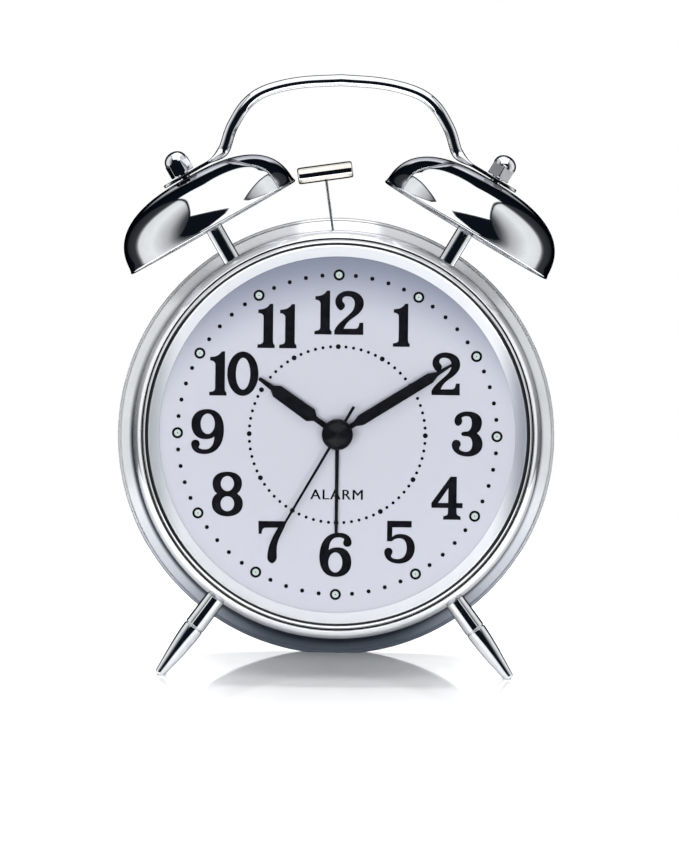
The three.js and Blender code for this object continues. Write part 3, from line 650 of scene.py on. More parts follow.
def dial_paint(name):
    """Pale lacquer with a fine grain, and painted shade that deepens towards the top edge, as the bezel's shadow.
    """
    made = Finish(name, (0.7, 0.73, 0.82), 0.0, 0.34)
    x, _, z, _ = made.axis_parts()
    # Painted shadow of the bezel: darker with distance from a point below the centre, so deepest along the top
    # edge.
    away = made.length(x, made.math("SUBTRACT", z, -25.0))
    shade = made.step(away, 54, 72)
    grain = made.noise(5.0, 2)
    made.colour(made.spread(grain, 0, 1), (0.373, 0.373, 0.414), (0.39, 0.389, 0.431))
    made.painted(shade, (0.155, 0.172, 0.22))
    made.rough(made.noise(0.8, 3), 0.3, 0.42)
    made.bumped(grain, 0.004, 0.35)
    return made.material


def glass(name):
    """Clear lens: light passes straight through, and its gloss comes from Fresnel."""
    made = Finish(name, (0.97, 0.98, 0.98), 0.0, 0.02)
    made.tree.nodes.remove(made.shader)
    clear = made.node("ShaderNodeBsdfTransparent")
    clear.inputs["Color"].default_value = (0.985, 0.99, 0.995, 1)
    gloss = made.node("ShaderNodeBsdfGlossy")
    made.put(gloss.inputs["Roughness"], made.spread(made.noise(0.1, 3), 0.005, 0.03))
    fresnel = made.node("ShaderNodeFresnel")
    fresnel.inputs["IOR"].default_value = 1.36
    mixed = made.node("ShaderNodeMixShader")
    made.put(mixed.inputs["Fac"], fresnel.outputs[0])
    made.put(mixed.inputs[1], clear.outputs[0])
    made.put(mixed.inputs[2], gloss.outputs[0])
    made.put(made.tree.nodes["Material Output"].inputs["Surface"], mixed.outputs[0])
    return made.material


def winding(name):
    """Enamelled copper wire laid in close turns along x."""
    made = Finish(name, (0.6, 0.26, 0.12), 0.9, 0.3)
    x = made.axis_parts()[0]
    turns = made.math("SINE", made.math("MULTIPLY", x, 30.0))
    made.rough(turns, 0.25, 0.4, (-1, 1))
    made.colour(made.spread(turns, 0, 1, (-1, 1)), (0.5, 0.2, 0.09), (0.75, 0.36, 0.18))
    made.bumped(turns, 0.05, 0.6)
    return made.material


def board(name):
    """Green solder mask over copper tracks."""
    made = Finish(name, (0.05, 0.22, 0.1), 0.0, 0.35)
    cells = made.node("ShaderNodeTexVoronoi", distance="MANHATTAN", feature="DISTANCE_TO_EDGE")
    made.put(cells.inputs["Vector"], made.position.outputs[0])
    cells.inputs["Scale"].default_value = 0.45
    track = made.spread(cells.outputs[0], 1, 0, (0.05, 0.09))
    made.colour(track, (0.03, 0.17, 0.07), (0.1, 0.34, 0.15))
    made.bumped(track, 0.03, 0.6)
    made.rough(made.noise(1.0, 3), 0.28, 0.42)
    return made.material


def jacket(name):
    """Plain printed battery jacket: a copper band at the positive end of a dark body."""
    made = Finish(name, (0.06, 0.065, 0.075), 0.4, 0.3)
    x = made.axis_parts()[0]
    band = made.spread(x, 0, 1, (13.8, 14.0))
    made.colour(band, (0.05, 0.055, 0.065), (0.62, 0.34, 0.16))
    made.rough(made.noise(0.5, 3), 0.22, 0.36)
    made.bumped(made.noise(2.0, 2), 0.004, 0.3)
    return made.material


def lume(name):
    """Pale green luminous paint, slightly granular."""
    made = Finish(name, (0.36, 0.4, 0.38), 0.0, 0.7)
    grain = made.noise(6.0, 3)
    made.clouded(grain, 0.6, 0.8, (0.33, 0.375, 0.355), (0.38, 0.42, 0.4))
    made.bumped(grain, 0.01, 0.5)
    return made.material


MIRROR = chrome("mirror_chrome")
ROD = rod_chrome("rod_chrome")
SATIN = brushed_plating("satin_chrome")
BEZEL = bezel_chrome("bezel_chrome")
ZINC = steel("zinc_steel")
NICKEL = nickel("turned_nickel")
BRASS = brass("gear_brass")
ENAMEL = enamel("black_enamel", 0.05)
INK = enamel("printing_ink", 0.02)
GLOSS = enamel("gloss_black", 0.35, 0.1, 0.18)
RUBBER = rubber("gasket_rubber")
WHITE = cone_white("white_moulding")
BLACK = moulded("black_moulding", (0.02, 0.02, 0.022), 0.42, 0.56)
NYLON = moulded("natural_nylon", (0.82, 0.8, 0.74), 0.4, 0.55, 0.4)
PAINT = dial_paint("dial_lacquer")
GLASS = glass("lens_glass")
COPPER = winding("copper_winding")
BOARD = board("circuit_board")
JACKET = jacket("battery_jacket")
LUME = lume("luminous_paint")

# ---------------------------------------------------------------- case, bezel, lens and dial


def case_shell():
    """Straight drum with a flare to a rolled rear rim, and a slot for the hammer's wire."""
    low, high = extent("case_body")
    front, rear = low.y, high.y
    rim = reach("case_body") + 0.5
    drum, wall = 52.6, 0.8
    flare = [(drum, 28), (drum, 35), (drum + 0.25, 38.5), (drum + 1.4, 40.7), (rim - 0.9, 43.9)]
    outside = through(flare, 6)
    inside = [p - Vector((wall, -0.3)) for p in reversed(outside)]
    bead = arc(rim - 0.66, rear - 1.45, 0.36, -110, 0, 8)
    flange = [
        (rim - 0.3, rear - 1.45), (rim - 0.3, rear - 1.25, 0.03), (rim - 0.02, rear - 1.25, 0.03),
        (rim, rear - 0.9, 0.1), (rim, rear, 0.3), (rim - 1, rear, 0.3), inside[0],
    ]
    edge = softened(flange, closed=False)
    profile = [(drum, front), *outside, *bead, *edge[1:-1], *inside, (drum - wall, front)]
    shell = stood(turned(profile, 320), CLOCK)
    slot = brick(-2.8, 2.8, 48, 56, -1.3, 1.3, 0.8)
    slot.transform(Matrix.Translation((0, MOUNT_PLANE, 0)) @ Matrix.Rotation(math.pi / 2, 4, "X"))
    return worked(shell, "DIFFERENCE", slot)


def bezel_ring():
    """Coned front ring with a fine groove and a bright land round the opening."""
    rear, outer = extent("bezel")[1].y, reach("bezel")
    profile = [
        (52.95, rear, 0.1), (outer, rear, 0.25), (outer, 4.4, 1.5), (52.6, 1.35, 0.8), (51.7, 0.1, 0.2),
        (51.45, 0.1, 0.08), (51.4, 1.0, 0.03), (51.08, 1.0, 0.03), (51.04, 0.62, 0.04), (50.3, 0.08, 0.14),
        (50.2, 0.25, 0.05), (50.2, 1.4, 0.03), (50.9, 1.42, 0.1), (50.9, 5.2, 0.1), (52.95, 5.2, 0.1),
    ]
    return turned(softened(profile, 0.1), 480)


def gasket_ring():
    """Soft ring that holds the lens in the bezel. Its black rubber also stands in for shade, as a dark ring in the
    shaded gap inside the bezel.
    """
    return turned(softened([(49.6, 1.2), (50.6, 1.45), (50.6, 2.1), (49.6, 2.1)], 0.15), 200)


def lens_glass():
    """Slightly domed lens, ground flat at its edge."""
    edge = reach("lens")
    front = through([(0, 1.3), (20, 1.5), (38, 2.0), (edge - 0.6, 2.4)], 6)
    rear = through([(edge - 0.6, 4.0), (38, 3.6), (20, 3.1), (0, 2.9)], 6)
    return turned([*front, (edge, 2.7), (edge, 3.7), *rear], 160)


def rehaut():
    """White cone between the lens and the dial."""
    profile = [(49.3, 4.3, 0.3), (50.6, 4.3, 0.2), (50.6, 10.2, 0.2), (46.7, 10.2, 0.15)]
    return turned(softened(profile), 240)


def dial_plate():
    """Flat dial with a hole for the hands' arbors."""
    low, high = extent("dial")
    edge = reach("dial")
    return filled([circle(0, 0, edge, 200), circle(0, 0, 4.1, 48)], low.y, high.y, 0.05)


piece("case_shell", case_shell(), SATIN, stands_for="case_body")
piece("bezel_ring", bezel_ring(), BEZEL, stands_for="bezel")
piece("gasket_ring", gasket_ring(), RUBBER, stands_for="lens_gasket")
piece("lens_glass", lens_glass(), GLASS, stands_for="lens")
piece("rehaut", rehaut(), WHITE, stands_for="rehaut_ring")
piece("dial_plate", dial_plate(), PAINT, stands_for="dial")

# ---------------------------------------------------------------- printing on the dial
# Numerals are drawn one unit high from their lower left corner.

ONE = [drawn(
    (0, 0), (0.39, 0), (0.385, 0.07), (0.36, 0.08, 0.345, 0.1, 0.345, 0.17), (0.345, 1), (0.28, 1),
    (0.22, 0.9, 0.13, 0.87, 0.015, 0.87), (0.015, 0.8), (0.1, 0.79, 0.137, 0.76, 0.137, 0.69),
    (0.137, 0.17), (0.137, 0.1, 0.1, 0.08, 0.005, 0.07),
)]
TWO = [drawn(
    (0, 0), (0.66, 0), (0.655, 0.27), (0.575, 0.27), (0.56, 0.17, 0.54, 0.135, 0.47, 0.13), (0.205, 0.13),
    (0.25, 0.27, 0.36, 0.35, 0.45, 0.41), (0.58, 0.5, 0.66, 0.6, 0.66, 0.72), (0.66, 0.9, 0.5, 1, 0.31, 1),
    (0.14, 1, 0.016, 0.89, 0.016, 0.76), (0.016, 0.66, 0.07, 0.59, 0.138, 0.555),
    (0.2, 0.59, 0.235, 0.63, 0.225, 0.68), (0.215, 0.73, 0.16, 0.74, 0.165, 0.79),
    (0.17, 0.86, 0.22, 0.885, 0.29, 0.885), (0.4, 0.885, 0.465, 0.82, 0.465, 0.71),
    (0.465, 0.55, 0.35, 0.47, 0.24, 0.37), (0.12, 0.26, 0.03, 0.18, 0, 0.08),
)]
THREE = [drawn(
    (0.21, 0.5), (0.21, 0.54, 0.26, 0.55, 0.33, 0.55), (0.41, 0.56, 0.445, 0.66, 0.445, 0.75),
    (0.445, 0.85, 0.4, 0.905, 0.32, 0.905), (0.26, 0.905, 0.2, 0.88, 0.2, 0.85),
    (0.21, 0.83, 0.225, 0.81, 0.215, 0.77), (0.2, 0.71, 0.16, 0.685, 0.13, 0.685),
    (0.08, 0.69, 0.055, 0.74, 0.055, 0.8), (0.06, 0.92, 0.18, 1, 0.34, 1),
    (0.53, 1, 0.66, 0.91, 0.66, 0.77), (0.66, 0.65, 0.62, 0.57, 0.55, 0.52),
    (0.63, 0.46, 0.68, 0.37, 0.68, 0.27), (0.68, 0.11, 0.54, 0, 0.35, 0), (0.15, 0, 0, 0.11, 0, 0.25),
    (0, 0.32, 0.04, 0.36, 0.095, 0.36), (0.15, 0.36, 0.19, 0.32, 0.19, 0.27),
    (0.19, 0.23, 0.16, 0.21, 0.155, 0.18), (0.16, 0.13, 0.23, 0.095, 0.31, 0.095),
    (0.4, 0.095, 0.46, 0.16, 0.46, 0.27), (0.46, 0.38, 0.42, 0.45, 0.33, 0.455),
    (0.26, 0.455, 0.21, 0.46, 0.21, 0.5),
)[:-1]]
FOUR = [drawn(
    (0.275, 0), (0.68, 0), (0.675, 0.07), (0.6, 0.09, 0.58, 0.11, 0.58, 0.18), (0.58, 0.275), (0.72, 0.275),
    (0.72, 0.385), (0.58, 0.385), (0.58, 1), (0.44, 1), (0, 0.385), (0, 0.275), (0.39, 0.275), (0.39, 0.18),
    (0.39, 0.11, 0.37, 0.09, 0.28, 0.07),
), [(0.39, 0.74), (0.145, 0.385), (0.39, 0.385)]]
FIVE = [drawn(
    (0.06, 1), (0.63, 1), (0.63, 0.855), (0.175, 0.855), (0.175, 0.615),
    (0.22, 0.66, 0.29, 0.69, 0.38, 0.69), (0.58, 0.69, 0.71, 0.56, 0.71, 0.37),
    (0.71, 0.15, 0.56, 0, 0.34, 0), (0.14, 0, 0, 0.11, 0, 0.26), (0, 0.32, 0.04, 0.36, 0.095, 0.36),
    (0.15, 0.36, 0.185, 0.32, 0.185, 0.27), (0.185, 0.225, 0.15, 0.21, 0.15, 0.175),
    (0.15, 0.125, 0.22, 0.095, 0.31, 0.095), (0.45, 0.095, 0.53, 0.2, 0.53, 0.36),
    (0.53, 0.52, 0.46, 0.6, 0.35, 0.6), (0.27, 0.6, 0.21, 0.57, 0.175, 0.525), (0.06, 0.525),
)]
SIX = [drawn(
    (0.205, 0.6), (0.2, 0.79, 0.28, 0.905, 0.42, 0.905), (0.5, 0.905, 0.56, 0.88, 0.565, 0.845),
    (0.545, 0.82, 0.54, 0.8, 0.54, 0.78), (0.54, 0.72, 0.58, 0.69, 0.63, 0.69),
    (0.69, 0.69, 0.72, 0.73, 0.72, 0.79), (0.71, 0.92, 0.6, 1, 0.43, 1), (0.17, 1, 0, 0.8, 0, 0.46),
    (0, 0.17, 0.13, 0, 0.37, 0), (0.59, 0, 0.72, 0.13, 0.72, 0.33), (0.72, 0.53, 0.6, 0.665, 0.42, 0.665),
    (0.33, 0.665, 0.255, 0.645, 0.205, 0.6),
)[:-1], ellipse(0.36, 0.325, 0.165, 0.235)]
SEVEN = [drawn(
    (0, 1), (0.63, 1), (0.63, 0.9), (0.56, 0.72, 0.43, 0.55, 0.435, 0.32), (0.44, 0.15),
    (0.44, 0.08, 0.4, 0.03, 0.335, 0), (0.27, 0.02, 0.225, 0.07, 0.225, 0.14),
    (0.225, 0.4, 0.33, 0.6, 0.47, 0.85), (0.17, 0.85), (0.1, 0.845, 0.075, 0.79, 0.07, 0.7), (0.01, 0.7),
)]
EIGHT = [drawn(
    (0.115, 0.51), (0.04, 0.56, 0.01, 0.65, 0.01, 0.75), (0.01, 0.9, 0.14, 1, 0.34, 1),
    (0.54, 1, 0.665, 0.9, 0.665, 0.75), (0.665, 0.64, 0.62, 0.56, 0.555, 0.51),
    (0.64, 0.46, 0.69, 0.38, 0.69, 0.28), (0.69, 0.11, 0.55, 0, 0.345, 0), (0.14, 0, 0, 0.11, 0, 0.28),
    (0, 0.39, 0.04, 0.46, 0.115, 0.51),
)[:-1], ellipse(0.34, 0.735, 0.155, 0.175), ellipse(0.345, 0.28, 0.16, 0.175)]
NINE = [[(0.72 - x, 1 - z) for x, z in contour] for contour in SIX]
NOUGHT = [ellipse(0.35, 0.5, 0.35, 0.5, 60), ellipse(0.355, 0.5, 0.17, 0.37, 60)]


def beside(first, second, offset):
    return first + [[(x + offset, z) for x, z in contour] for contour in second]


# Each numeral's outline, the middle of where it is printed, and its height
NUMERALS = {
    "12": (beside(ONE, TWO, 0.46), (0.1, 32.0), 11.4),
    "1": (ONE, (16.5, 28.9), 11.2),
    "2": (TWO, (28.3, 16.3), 11.1),
    "3": (THREE, (34.1, 0.6), 11.7),
    "4": (FOUR, (29.0, -16.3), 11.2),
    "5": (FIVE, (16.7, -28.0), 11.1),
    "6": (SIX, (-0.1, -31.5), 11.5),
    "7": (SEVEN, (-16.9, -28.4), 11.0),
    "8": (EIGHT, (-28.6, -15.9), 11.6),
    "9": (NINE, (-34.0, 0.4), 11.7),
    "10": (beside(ONE, NOUGHT, 0.41), (-27.3, 15.7), 11.5),
    "11": (beside(ONE, ONE, 0.495), (-16.1, 28.3), 11.5),
}
DIAL_FACE = extent("dial")[0].y
INK_DEPTH = 0.03
MINUTE_TRACK = 41.9
ALARM_TRACK = 23.1
BOLDER = 0.08  # added all round to each numeral
WORD_STROKE = 0.07  # added to each side of the word's strokes


def printed(contours, depth=INK_DEPTH):
    return filled(contours, DIAL_FACE - depth, DIAL_FACE + depth)


def grown(contour, amount):
    """The outline moved outwards by an amount, or inwards where it is negative."""
    points = [Vector(p) for p in contour]
    befores, afters = points[-1:] + points[:-1], points[1:] + points[:1]
    side = math.copysign(1, sum(here.cross(after) for here, after in zip(points, afters)))
    result = []
    for before, here, after in zip(befores, points, afters):
        along = ((here - before).normalized() + (after - here).normalized()).normalized()
        result.append(here + Vector((along.y, -along.x)) * side * amount)
    return result


def is_hole(contour, contours):
    """Whether the contour lies inside one of the others."""
    spans = [[(min(p[i] for p in c), max(p[i] for p in c)) for i in (0, 1)] for c in [contour, *contours]]
    own = spans[0]
    return any(all(low < own[i][0] and own[i][1] < high for i, (low, high) in enumerate(other))
               for other in spans[1:])


def numeral(contours, middle, height):
    """A numeral's printing from its outline, the middle of its place and its height."""
    xs = [x for contour in contours for x, _ in contour]
    zs = [z for contour in contours for _, z in contour]
    cx, cz = (min(xs) + max(xs)) / 2, (min(zs) + max(zs)) / 2
    size = height / (max(zs) - min(zs))
    in_place = [[(middle[0] + (x - cx) * size, middle[1] + (z - cz) * size) for x, z in contour]
                for contour in contours]
    return printed([grown(c, -BOLDER if is_hole(c, in_place) else BOLDER) for c in in_place])


def on_track(radius, count, skip=0):
    """Places round the dial, clockwise from the top, leaving out every skip-th."""
    for i in range(count):
        if skip and i % skip == 0:
            continue
        angle = 2 * math.pi * i / count
        yield radius * math.sin(angle), radius * math.cos(angle)


def hour_ring(x, z):
    return printed([circle(x, z, 1.48), circle(x, z, 0.86)], 1.3 * INK_DEPTH)


def word(text, width, height, middle_z):
    """A plain word across the dial, from the built-in letters. Copies side by side make it bolder."""
    letters = bpy.data.curves.new("letters", "FONT")
    letters.body = text
    letters.resolution_u = 4
    letters.extrude = INK_DEPTH
    letters.space_character = 1.12
    holder = bpy.data.objects.new("letters", letters)
    mesh = bpy.data.meshes.new_from_object(holder)
    bpy.data.objects.remove(holder)
    xs = [v.co.x for v in mesh.vertices]
    ys = [v.co.y for v in mesh.vertices]
    wide, tall = max(xs) - min(xs), max(ys) - min(ys)
    centre = Matrix.Translation((-(max(xs) + min(xs)) / 2, -(max(ys) + min(ys)) / 2, 0))
    size = Matrix.Diagonal((width / wide, height / tall, 1, 1))
    stand = Matrix.Translation((0, DIAL_FACE, middle_z)) @ Matrix.Rotation(math.pi / 2, 4, "X")
    mesh.transform(stand @ size @ centre)
    shifts = (-WORD_STROKE, 0, WORD_STROKE)
    return joined(*[placed(mesh, Matrix.Translation((shift, 0, 0))) for shift in shifts])


def on_dial(name, mesh, material=INK):
    piece(name, mesh, material, body="case")


def dots(places, radius, steps, depth=INK_DEPTH):
    return [printed([circle(x, z, radius, steps)], depth) for x, z in places]


HOURS = [*on_track(MINUTE_TRACK, 12)]
hour_rings = [hour_ring(x, z) for x, z in HOURS]
hour_points = dots(HOURS, 0.16, 12, 1.3 * INK_DEPTH)
minute_dots = dots(on_track(MINUTE_TRACK, 60, 5), 0.55, 20)
alarm_dots = dots(on_track(ALARM_TRACK, 72, 6), 0.42, 14)
alarm_hours = dots(on_track(ALARM_TRACK, 12), 0.66, 20)

for label, (contours, middle, height) in NUMERALS.items():
    on_dial(f"numeral_{label}", numeral(contours, middle, height))
on_dial("minute_track", joined(*minute_dots, *hour_rings, *hour_points))
on_dial("alarm_track", joined(*alarm_dots, *alarm_hours))
on_dial("hour_paint", joined(*dots(HOURS, 0.98, 24)), LUME)
on_dial("dial_word", word("ALARM", 13.7, 2.6, -15.7))

# ---------------------------------------------------------------- bells, posts, nuts and feet


def bell_shell():
    """Squared-off dome of thin sheet with a rolled lip."""
    low, high = extent("left_bell", BELL_PLACE["left"])
    radius, base, top = 24.8, low.y, high.y
    height, wall, hole = top - base, 1.0, 1.7
    power = 2 / 2.6

    def dome(r, h, steps):
        first = 0.05
        angles = [first + (math.pi / 2 - first) * k / steps for k in range(steps)]
        points = [Vector((r * math.cos(a) ** power, base + h * math.sin(a) ** power)) for a in angles]
        return [p for p in points if p.x > hole]

    outside = dome(radius - 0.25, height, 44)
    inside = dome(radius - 0.25 - wall, height - wall, 36)
    lip = arc(radius - 0.4, base + 0.4, 0.4, -170, 50, 10)
    profile = [*lip, *outside, (hole, top), (hole, top - wall), *reversed(inside)]
    return turned(profile, 200)


NUT_TURNS = {"left": 12, "right": 28}  # degrees


def bell_post():
    """Post with a shoulder on the case, a seat for the bell and a narrower end at each side."""
    low, high = extent("left_bell_post", BELL_PLACE["left"])
    radius, shoulder, top = 2.25, 52.9, 76.9
    profile = [
        (0, low.y), (1.4, low.y, 0.2), (1.4, shoulder, 0.02), (radius, shoulder, 0.25), (radius, top, 0.3),
        (1.4, top, 0.02), (1.4, high.y, 0.3), (0, high.y),
    ]
    return turned(softened(profile, closed=False), 64)


def acorn_nut(turn):
    """Hexagon with chamfered corners under a round cap, tightened to an angle in degrees."""
    low, high = extent("left_acorn_nut", BELL_PLACE["left"])
    base, shoulder, top = low.y, low.y + 3.7, high.y + 0.6
    corner, cap, ease = 3.35, 3.05, 0.3
    hexagon = filled([arc(0, 0, corner, turn, turn + 300, 5)], base, shoulder)
    chamfer = [(0, base), (3.1, base), (3.3, base + ease), (3.3, shoulder - ease), (3.05, shoulder),
               (0, shoulder)]
    nut = worked(hexagon, "INTERSECT", turned(chamfer, 64))
    crown = [(cap * math.cos(t), shoulder + (top - shoulder) * math.sin(t))
             for t in (math.pi / 2 * k / 12 for k in range(12))]
    dome = turned([(0, shoulder - 0.6), (cap, shoulder - 0.6), *crown, (0, top)], 64)
    return worked(nut, "UNION", dome)


def clock_foot(place):
    """Tapered foot with a fine ring, cut flat where it stands."""
    start = extent("left_foot", place)[0].y
    ring = 62.5
    profile = [
        (0, start), (1.4, start, 0.2), (1.4, 52.9, 0.02), (2.65, 52.9, 0.2), (2.75, ring, 0.05),
        (2.5, ring + 0.18, 0.05), (2.5, ring + 0.4, 0.05), (2.75, ring + 0.58, 0.1), (2.62, ring + 4, 1.5),
        (2.25, ring + 8, 1.5), (1.74, ring + 12, 1.5), (1.3, 78.0, 0.3), (0.9, 78.4, 0.2), (0, 78.4),
    ]
    return stood(turned(softened(profile, closed=False, steps=5), 72), place)


for name, side in SIDES.items():
    at_bell, at_foot = BELL_PLACE[name], FOOT_PLACE[name]
    piece(f"{name}_bell_shell", bell_shell(), MIRROR, at_bell, f"{name}_bell")
    piece(f"{name}_post_rod", bell_post(), ROD, at_bell, f"{name}_bell_post")
    piece(f"{name}_nut_cap", acorn_nut(NUT_TURNS[name]), ROD, at_bell, f"{name}_acorn_nut")
    piece(f"{name}_foot_rod", clock_foot(at_foot), ROD, at_foot, f"{name}_foot")
    dressed(f"{name}_post_nut", ZINC)
    dressed(f"{name}_foot_nut", ZINC)

# ---------------------------------------------------------------- carrying handle


def handle_path():
    """Down the middle of the handle in x and z, from under the left nut to under the right."""
    crown = extent("left_bell", BELL_PLACE["left"])[1].y
    along = Vector((math.sin(BELL_ANGLE), math.cos(BELL_ANGLE)))
    outward = Vector((math.cos(BELL_ANGLE), -math.sin(BELL_ANGLE)))
    plate_level = 0.7
    press = [along * (crown + plate_level) + outward * (BELL_OFFSET - inward)
             for inward in (-6.0, -3.0, 0.0, 4.4, 8.6)]
    arch = [(31.6, 73.3), (30.5, 74.7), (29.9, 76.4), (29.2, 78.8), (28.1, 81.4), (25.3, 86), (21.6, 89.2),
            (16.4, 91.2), (9.5, 92.5), (0, 93.1)]
    half = through([*press, *arch], 8)
    return [*half, *[Vector((-p.x, p.y)) for p in reversed(half[:-1])]]


def handle_wire():
    """Wire arch whose ends are pressed flat and clamped under the acorn nuts."""
    wire, flat_half, flat_thick, end_round = 1.55, 4.1, 0.4, 3.6
    pressed_until, round_from = 13.0, 18.5
    path = handle_path()
    travelled = [0.0]
    for before, after in zip(path, path[1:]):
        travelled.append(travelled[-1] + (after - before).length)
    widths, depths, square = [], [], []
    for distance in travelled:
        from_end = min(distance, travelled[-1] - distance)
        share = min(max((from_end - pressed_until) / (round_from - pressed_until), 0), 1)
        share = share * share * (3 - 2 * share)
        rounding = math.sqrt(max(0.0, 1 - max(0.0, 1 - (from_end + 0.05) / end_round) ** 2))
        widths.append((flat_half + (wire - flat_half) * share) * rounding)
        depths.append(flat_thick + (wire - flat_thick) * share)
        square.append(5 - 3 * share)
    mesh = swept(path, widths, depths, square)
    mesh.transform(Matrix.Translation((0, MOUNT_PLANE, 0)))
    return mesh


piece("handle_wire", handle_wire(), ROD, stands_for="handle")

# ---------------------------------------------------------------- hammer


def hammer_barrel():
    """Barrel that lies across the end of the wire."""
    low, high = extent("hammer_head", HAMMER_PLACE)
    half, radius = 7.25, 2.2
    profile = [(0, -half), (radius - 0.1, -half, 0.6), (radius, 1 - half, 0.5), (radius, half - 1, 0.5),
               (radius - 0.1, half, 0.6), (0, half)]
    barrel = turned(softened(profile, closed=False, steps=5), 72)
    barrel.transform(Matrix.Translation((0, 0, (low.z + high.z) / 2)) @ Matrix.Rotation(-math.pi / 2, 4, "Z"))
    return barrel


def hammer_rod():
    """Straight thin wire from the pivot to the barrel."""
    low, high = extent("hammer_wire", HAMMER_PLACE)
    rod = turned([(0, low.z), (0.35, low.z), (0.35, high.z), (0, high.z)], 24)
    rod.transform(Matrix.Rotation(math.pi / 2, 4, "X"))
    return rod


piece("hammer_barrel", hammer_barrel(), NICKEL, HAMMER_PLACE, "hammer_head")
piece("hammer_rod", hammer_rod(), ZINC, HAMMER_PLACE, "hammer_wire")

# ---------------------------------------------------------------- hands


def hub_cap():
    """Black cap with turned grooves inside a raised edge."""
    low, high = extent("second_hand_cap")
    radius, face, bottom = reach("second_hand_cap"), low.y, low.y + 0.16
    profile = [(0, high.y), (radius, high.y, 0.1), (radius, face + 0.1, 0.25), (radius - 0.5, face, 0.15)]
    groove = radius - 0.85
    while groove > 0.6:
        profile += [(groove, face + 0.02, 0.05), (groove - 0.12, bottom, 0.05), (groove - 0.3, bottom, 0.05)]
        groove -= 0.62
    profile += [(0.25, face + 0.05, 0.1), (0, face + 0.05)]
    return turned(softened(profile, closed=False), 96)


for node in ("hour_hand", "minute_hand", "second_hand", "alarm_hand"):
    dressed(node, ENAMEL, 0.12)
piece("hub_cap", hub_cap(), GLOSS, stands_for="second_hand_cap")

# ---------------------------------------------------------------- rear cover, knobs, switch and door

DOOR_LOW, DOOR_HIGH = extent("battery_door")
SCREWS = [f"cover_screw_{i}" for i in (1, 2, 3, 4)]
KNOBS = ("time_set_knob", "alarm_set_knob")


def middle_of(node):
    low, high = extent(node)
    return (low.x + high.x) / 2, (low.z + high.z) / 2


def slot_middle():
    """Where the alarm switch is halfway along its slot."""
    x, z = middle_of("alarm_switch")
    return x + JOINTS["alarm_switch_slide"]["range_m"][1] / MM / 2, z


def rear_panel():
    """Moulded cover with a stepped rim and its openings."""
    rear, rim, front = extent("rear_cover")[1].y, reach("rear_cover"), 43.0
    profile = [
        (0, front), (rim - 0.3, front, 0.2), (rim, front + 0.6, 0.2), (rim, rear, 0.25),
        (rim - 2.2, rear, 0.2), (rim - 2.5, rear - 0.5, 0.2), (rim - 4.6, rear - 0.5, 0.2),
        (rim - 4.9, rear, 0.2), (0, rear),
    ]
    panel = turned(softened(profile, closed=False), 200)
    gap, depth = 0.3, (42, 46)
    x, z = slot_middle()
    cutters = [
        brick(DOOR_LOW.x - gap, DOOR_HIGH.x + gap, *depth, DOOR_LOW.z - gap, DOOR_HIGH.z + gap, 0.4),
        brick(x - 4.1, x + 4.1, *depth, z - 1.3, z + 1.3, 0.3),
    ]
    for knob in KNOBS:
        cutters.append(pin(1.9, *depth, *middle_of(knob)))
    for screw in SCREWS:
        cutters.append(pin(2.9, 43.9, 46, *middle_of(screw)))
    return worked(panel, "DIFFERENCE", *cutters)


def raised_marks():
    """Turning arrows beside the knobs and a frame round the switch."""
    rear = extent("rear_cover")[1].y
    start, end, size = 60, 120, 10.6
    marks = []
    for knob in KNOBS:
        x, z = middle_of(knob)
        band = [*arc(x, z, size + 0.35, start, end, 12), *reversed(arc(x, z, size - 0.35, start, end, 12))]
        tip = arc(x, z, size, end, end + 9, 1)[1]
        wide = [arc(x, z, size + half, end, end, 1)[0] for half in (1.1, -1.1)]
        for outline in (band, [wide[0], tip, wide[1]]):
            marks.append(filled([outline], rear - 0.1, rear + 0.25, 0.06))
    x, z = slot_middle()
    border = [softened(rectangle(x - wide, x + wide, z - tall, z + tall), corner)
              for wide, tall, corner in ((7.4, 3.6, 1.4), (6.8, 3.0, 1.0))]
    marks.append(filled(border, rear - 0.1, rear + 0.22, 0.05))
    return joined(*marks)


def door_panel():
    """Snap-in lid with grip ribs, a finger recess and a catch."""
    low, high = DOOR_LOW, DOOR_HIGH
    front, rear = 43.0, high.y
    leaf = brick(low.x, high.x, front, rear, low.z, high.z, 0.25)
    recess = brick(-6, 6, rear - 1, rear + 1, high.z - 5.5, high.z - 2.5, 0.6)
    leaf = worked(leaf, "DIFFERENCE", recess)
    ribs = [brick(-9, 9, rear - 0.1, rear + 0.3, z - 0.35, z + 0.35, 0.12)
            for z in (low.z + 3 + 1.5 * i for i in range(5))]
    catch = brick(-4, 4, low.y, front + 0.4, high.z - 2, high.z - 0.8, 0.15)
    return joined(leaf, *ribs, catch)


def setting_knob(node):
    """Ribbed knob with a dished face and a blind bore for its shaft."""
    low, high = extent(node)
    x, z = middle_of(node)
    front, rear, radius = low.y, high.y, (high.x - low.x) / 2
    bore, bore_end, dish = 1.8, 52.3, rear - 0.9
    skin = softened([
        (radius - 0.9, front), (radius, front + 0.7), (radius, rear - 0.7, 0.4), (radius - 1.2, rear, 0.4),
        (radius - 1.9, rear), (radius - 2.3, rear - 0.5), (1.0, dish, 0.5),
    ])
    profile = [(0, bore_end), (bore, bore_end), (bore, front), *skin, (0, dish)]
    knob = turned(profile, 192, ribs=32, rib_depth=0.5, ribbed_from=radius - 0.35)
    knob.transform(Matrix.Translation((x, 0, z)))
    return knob


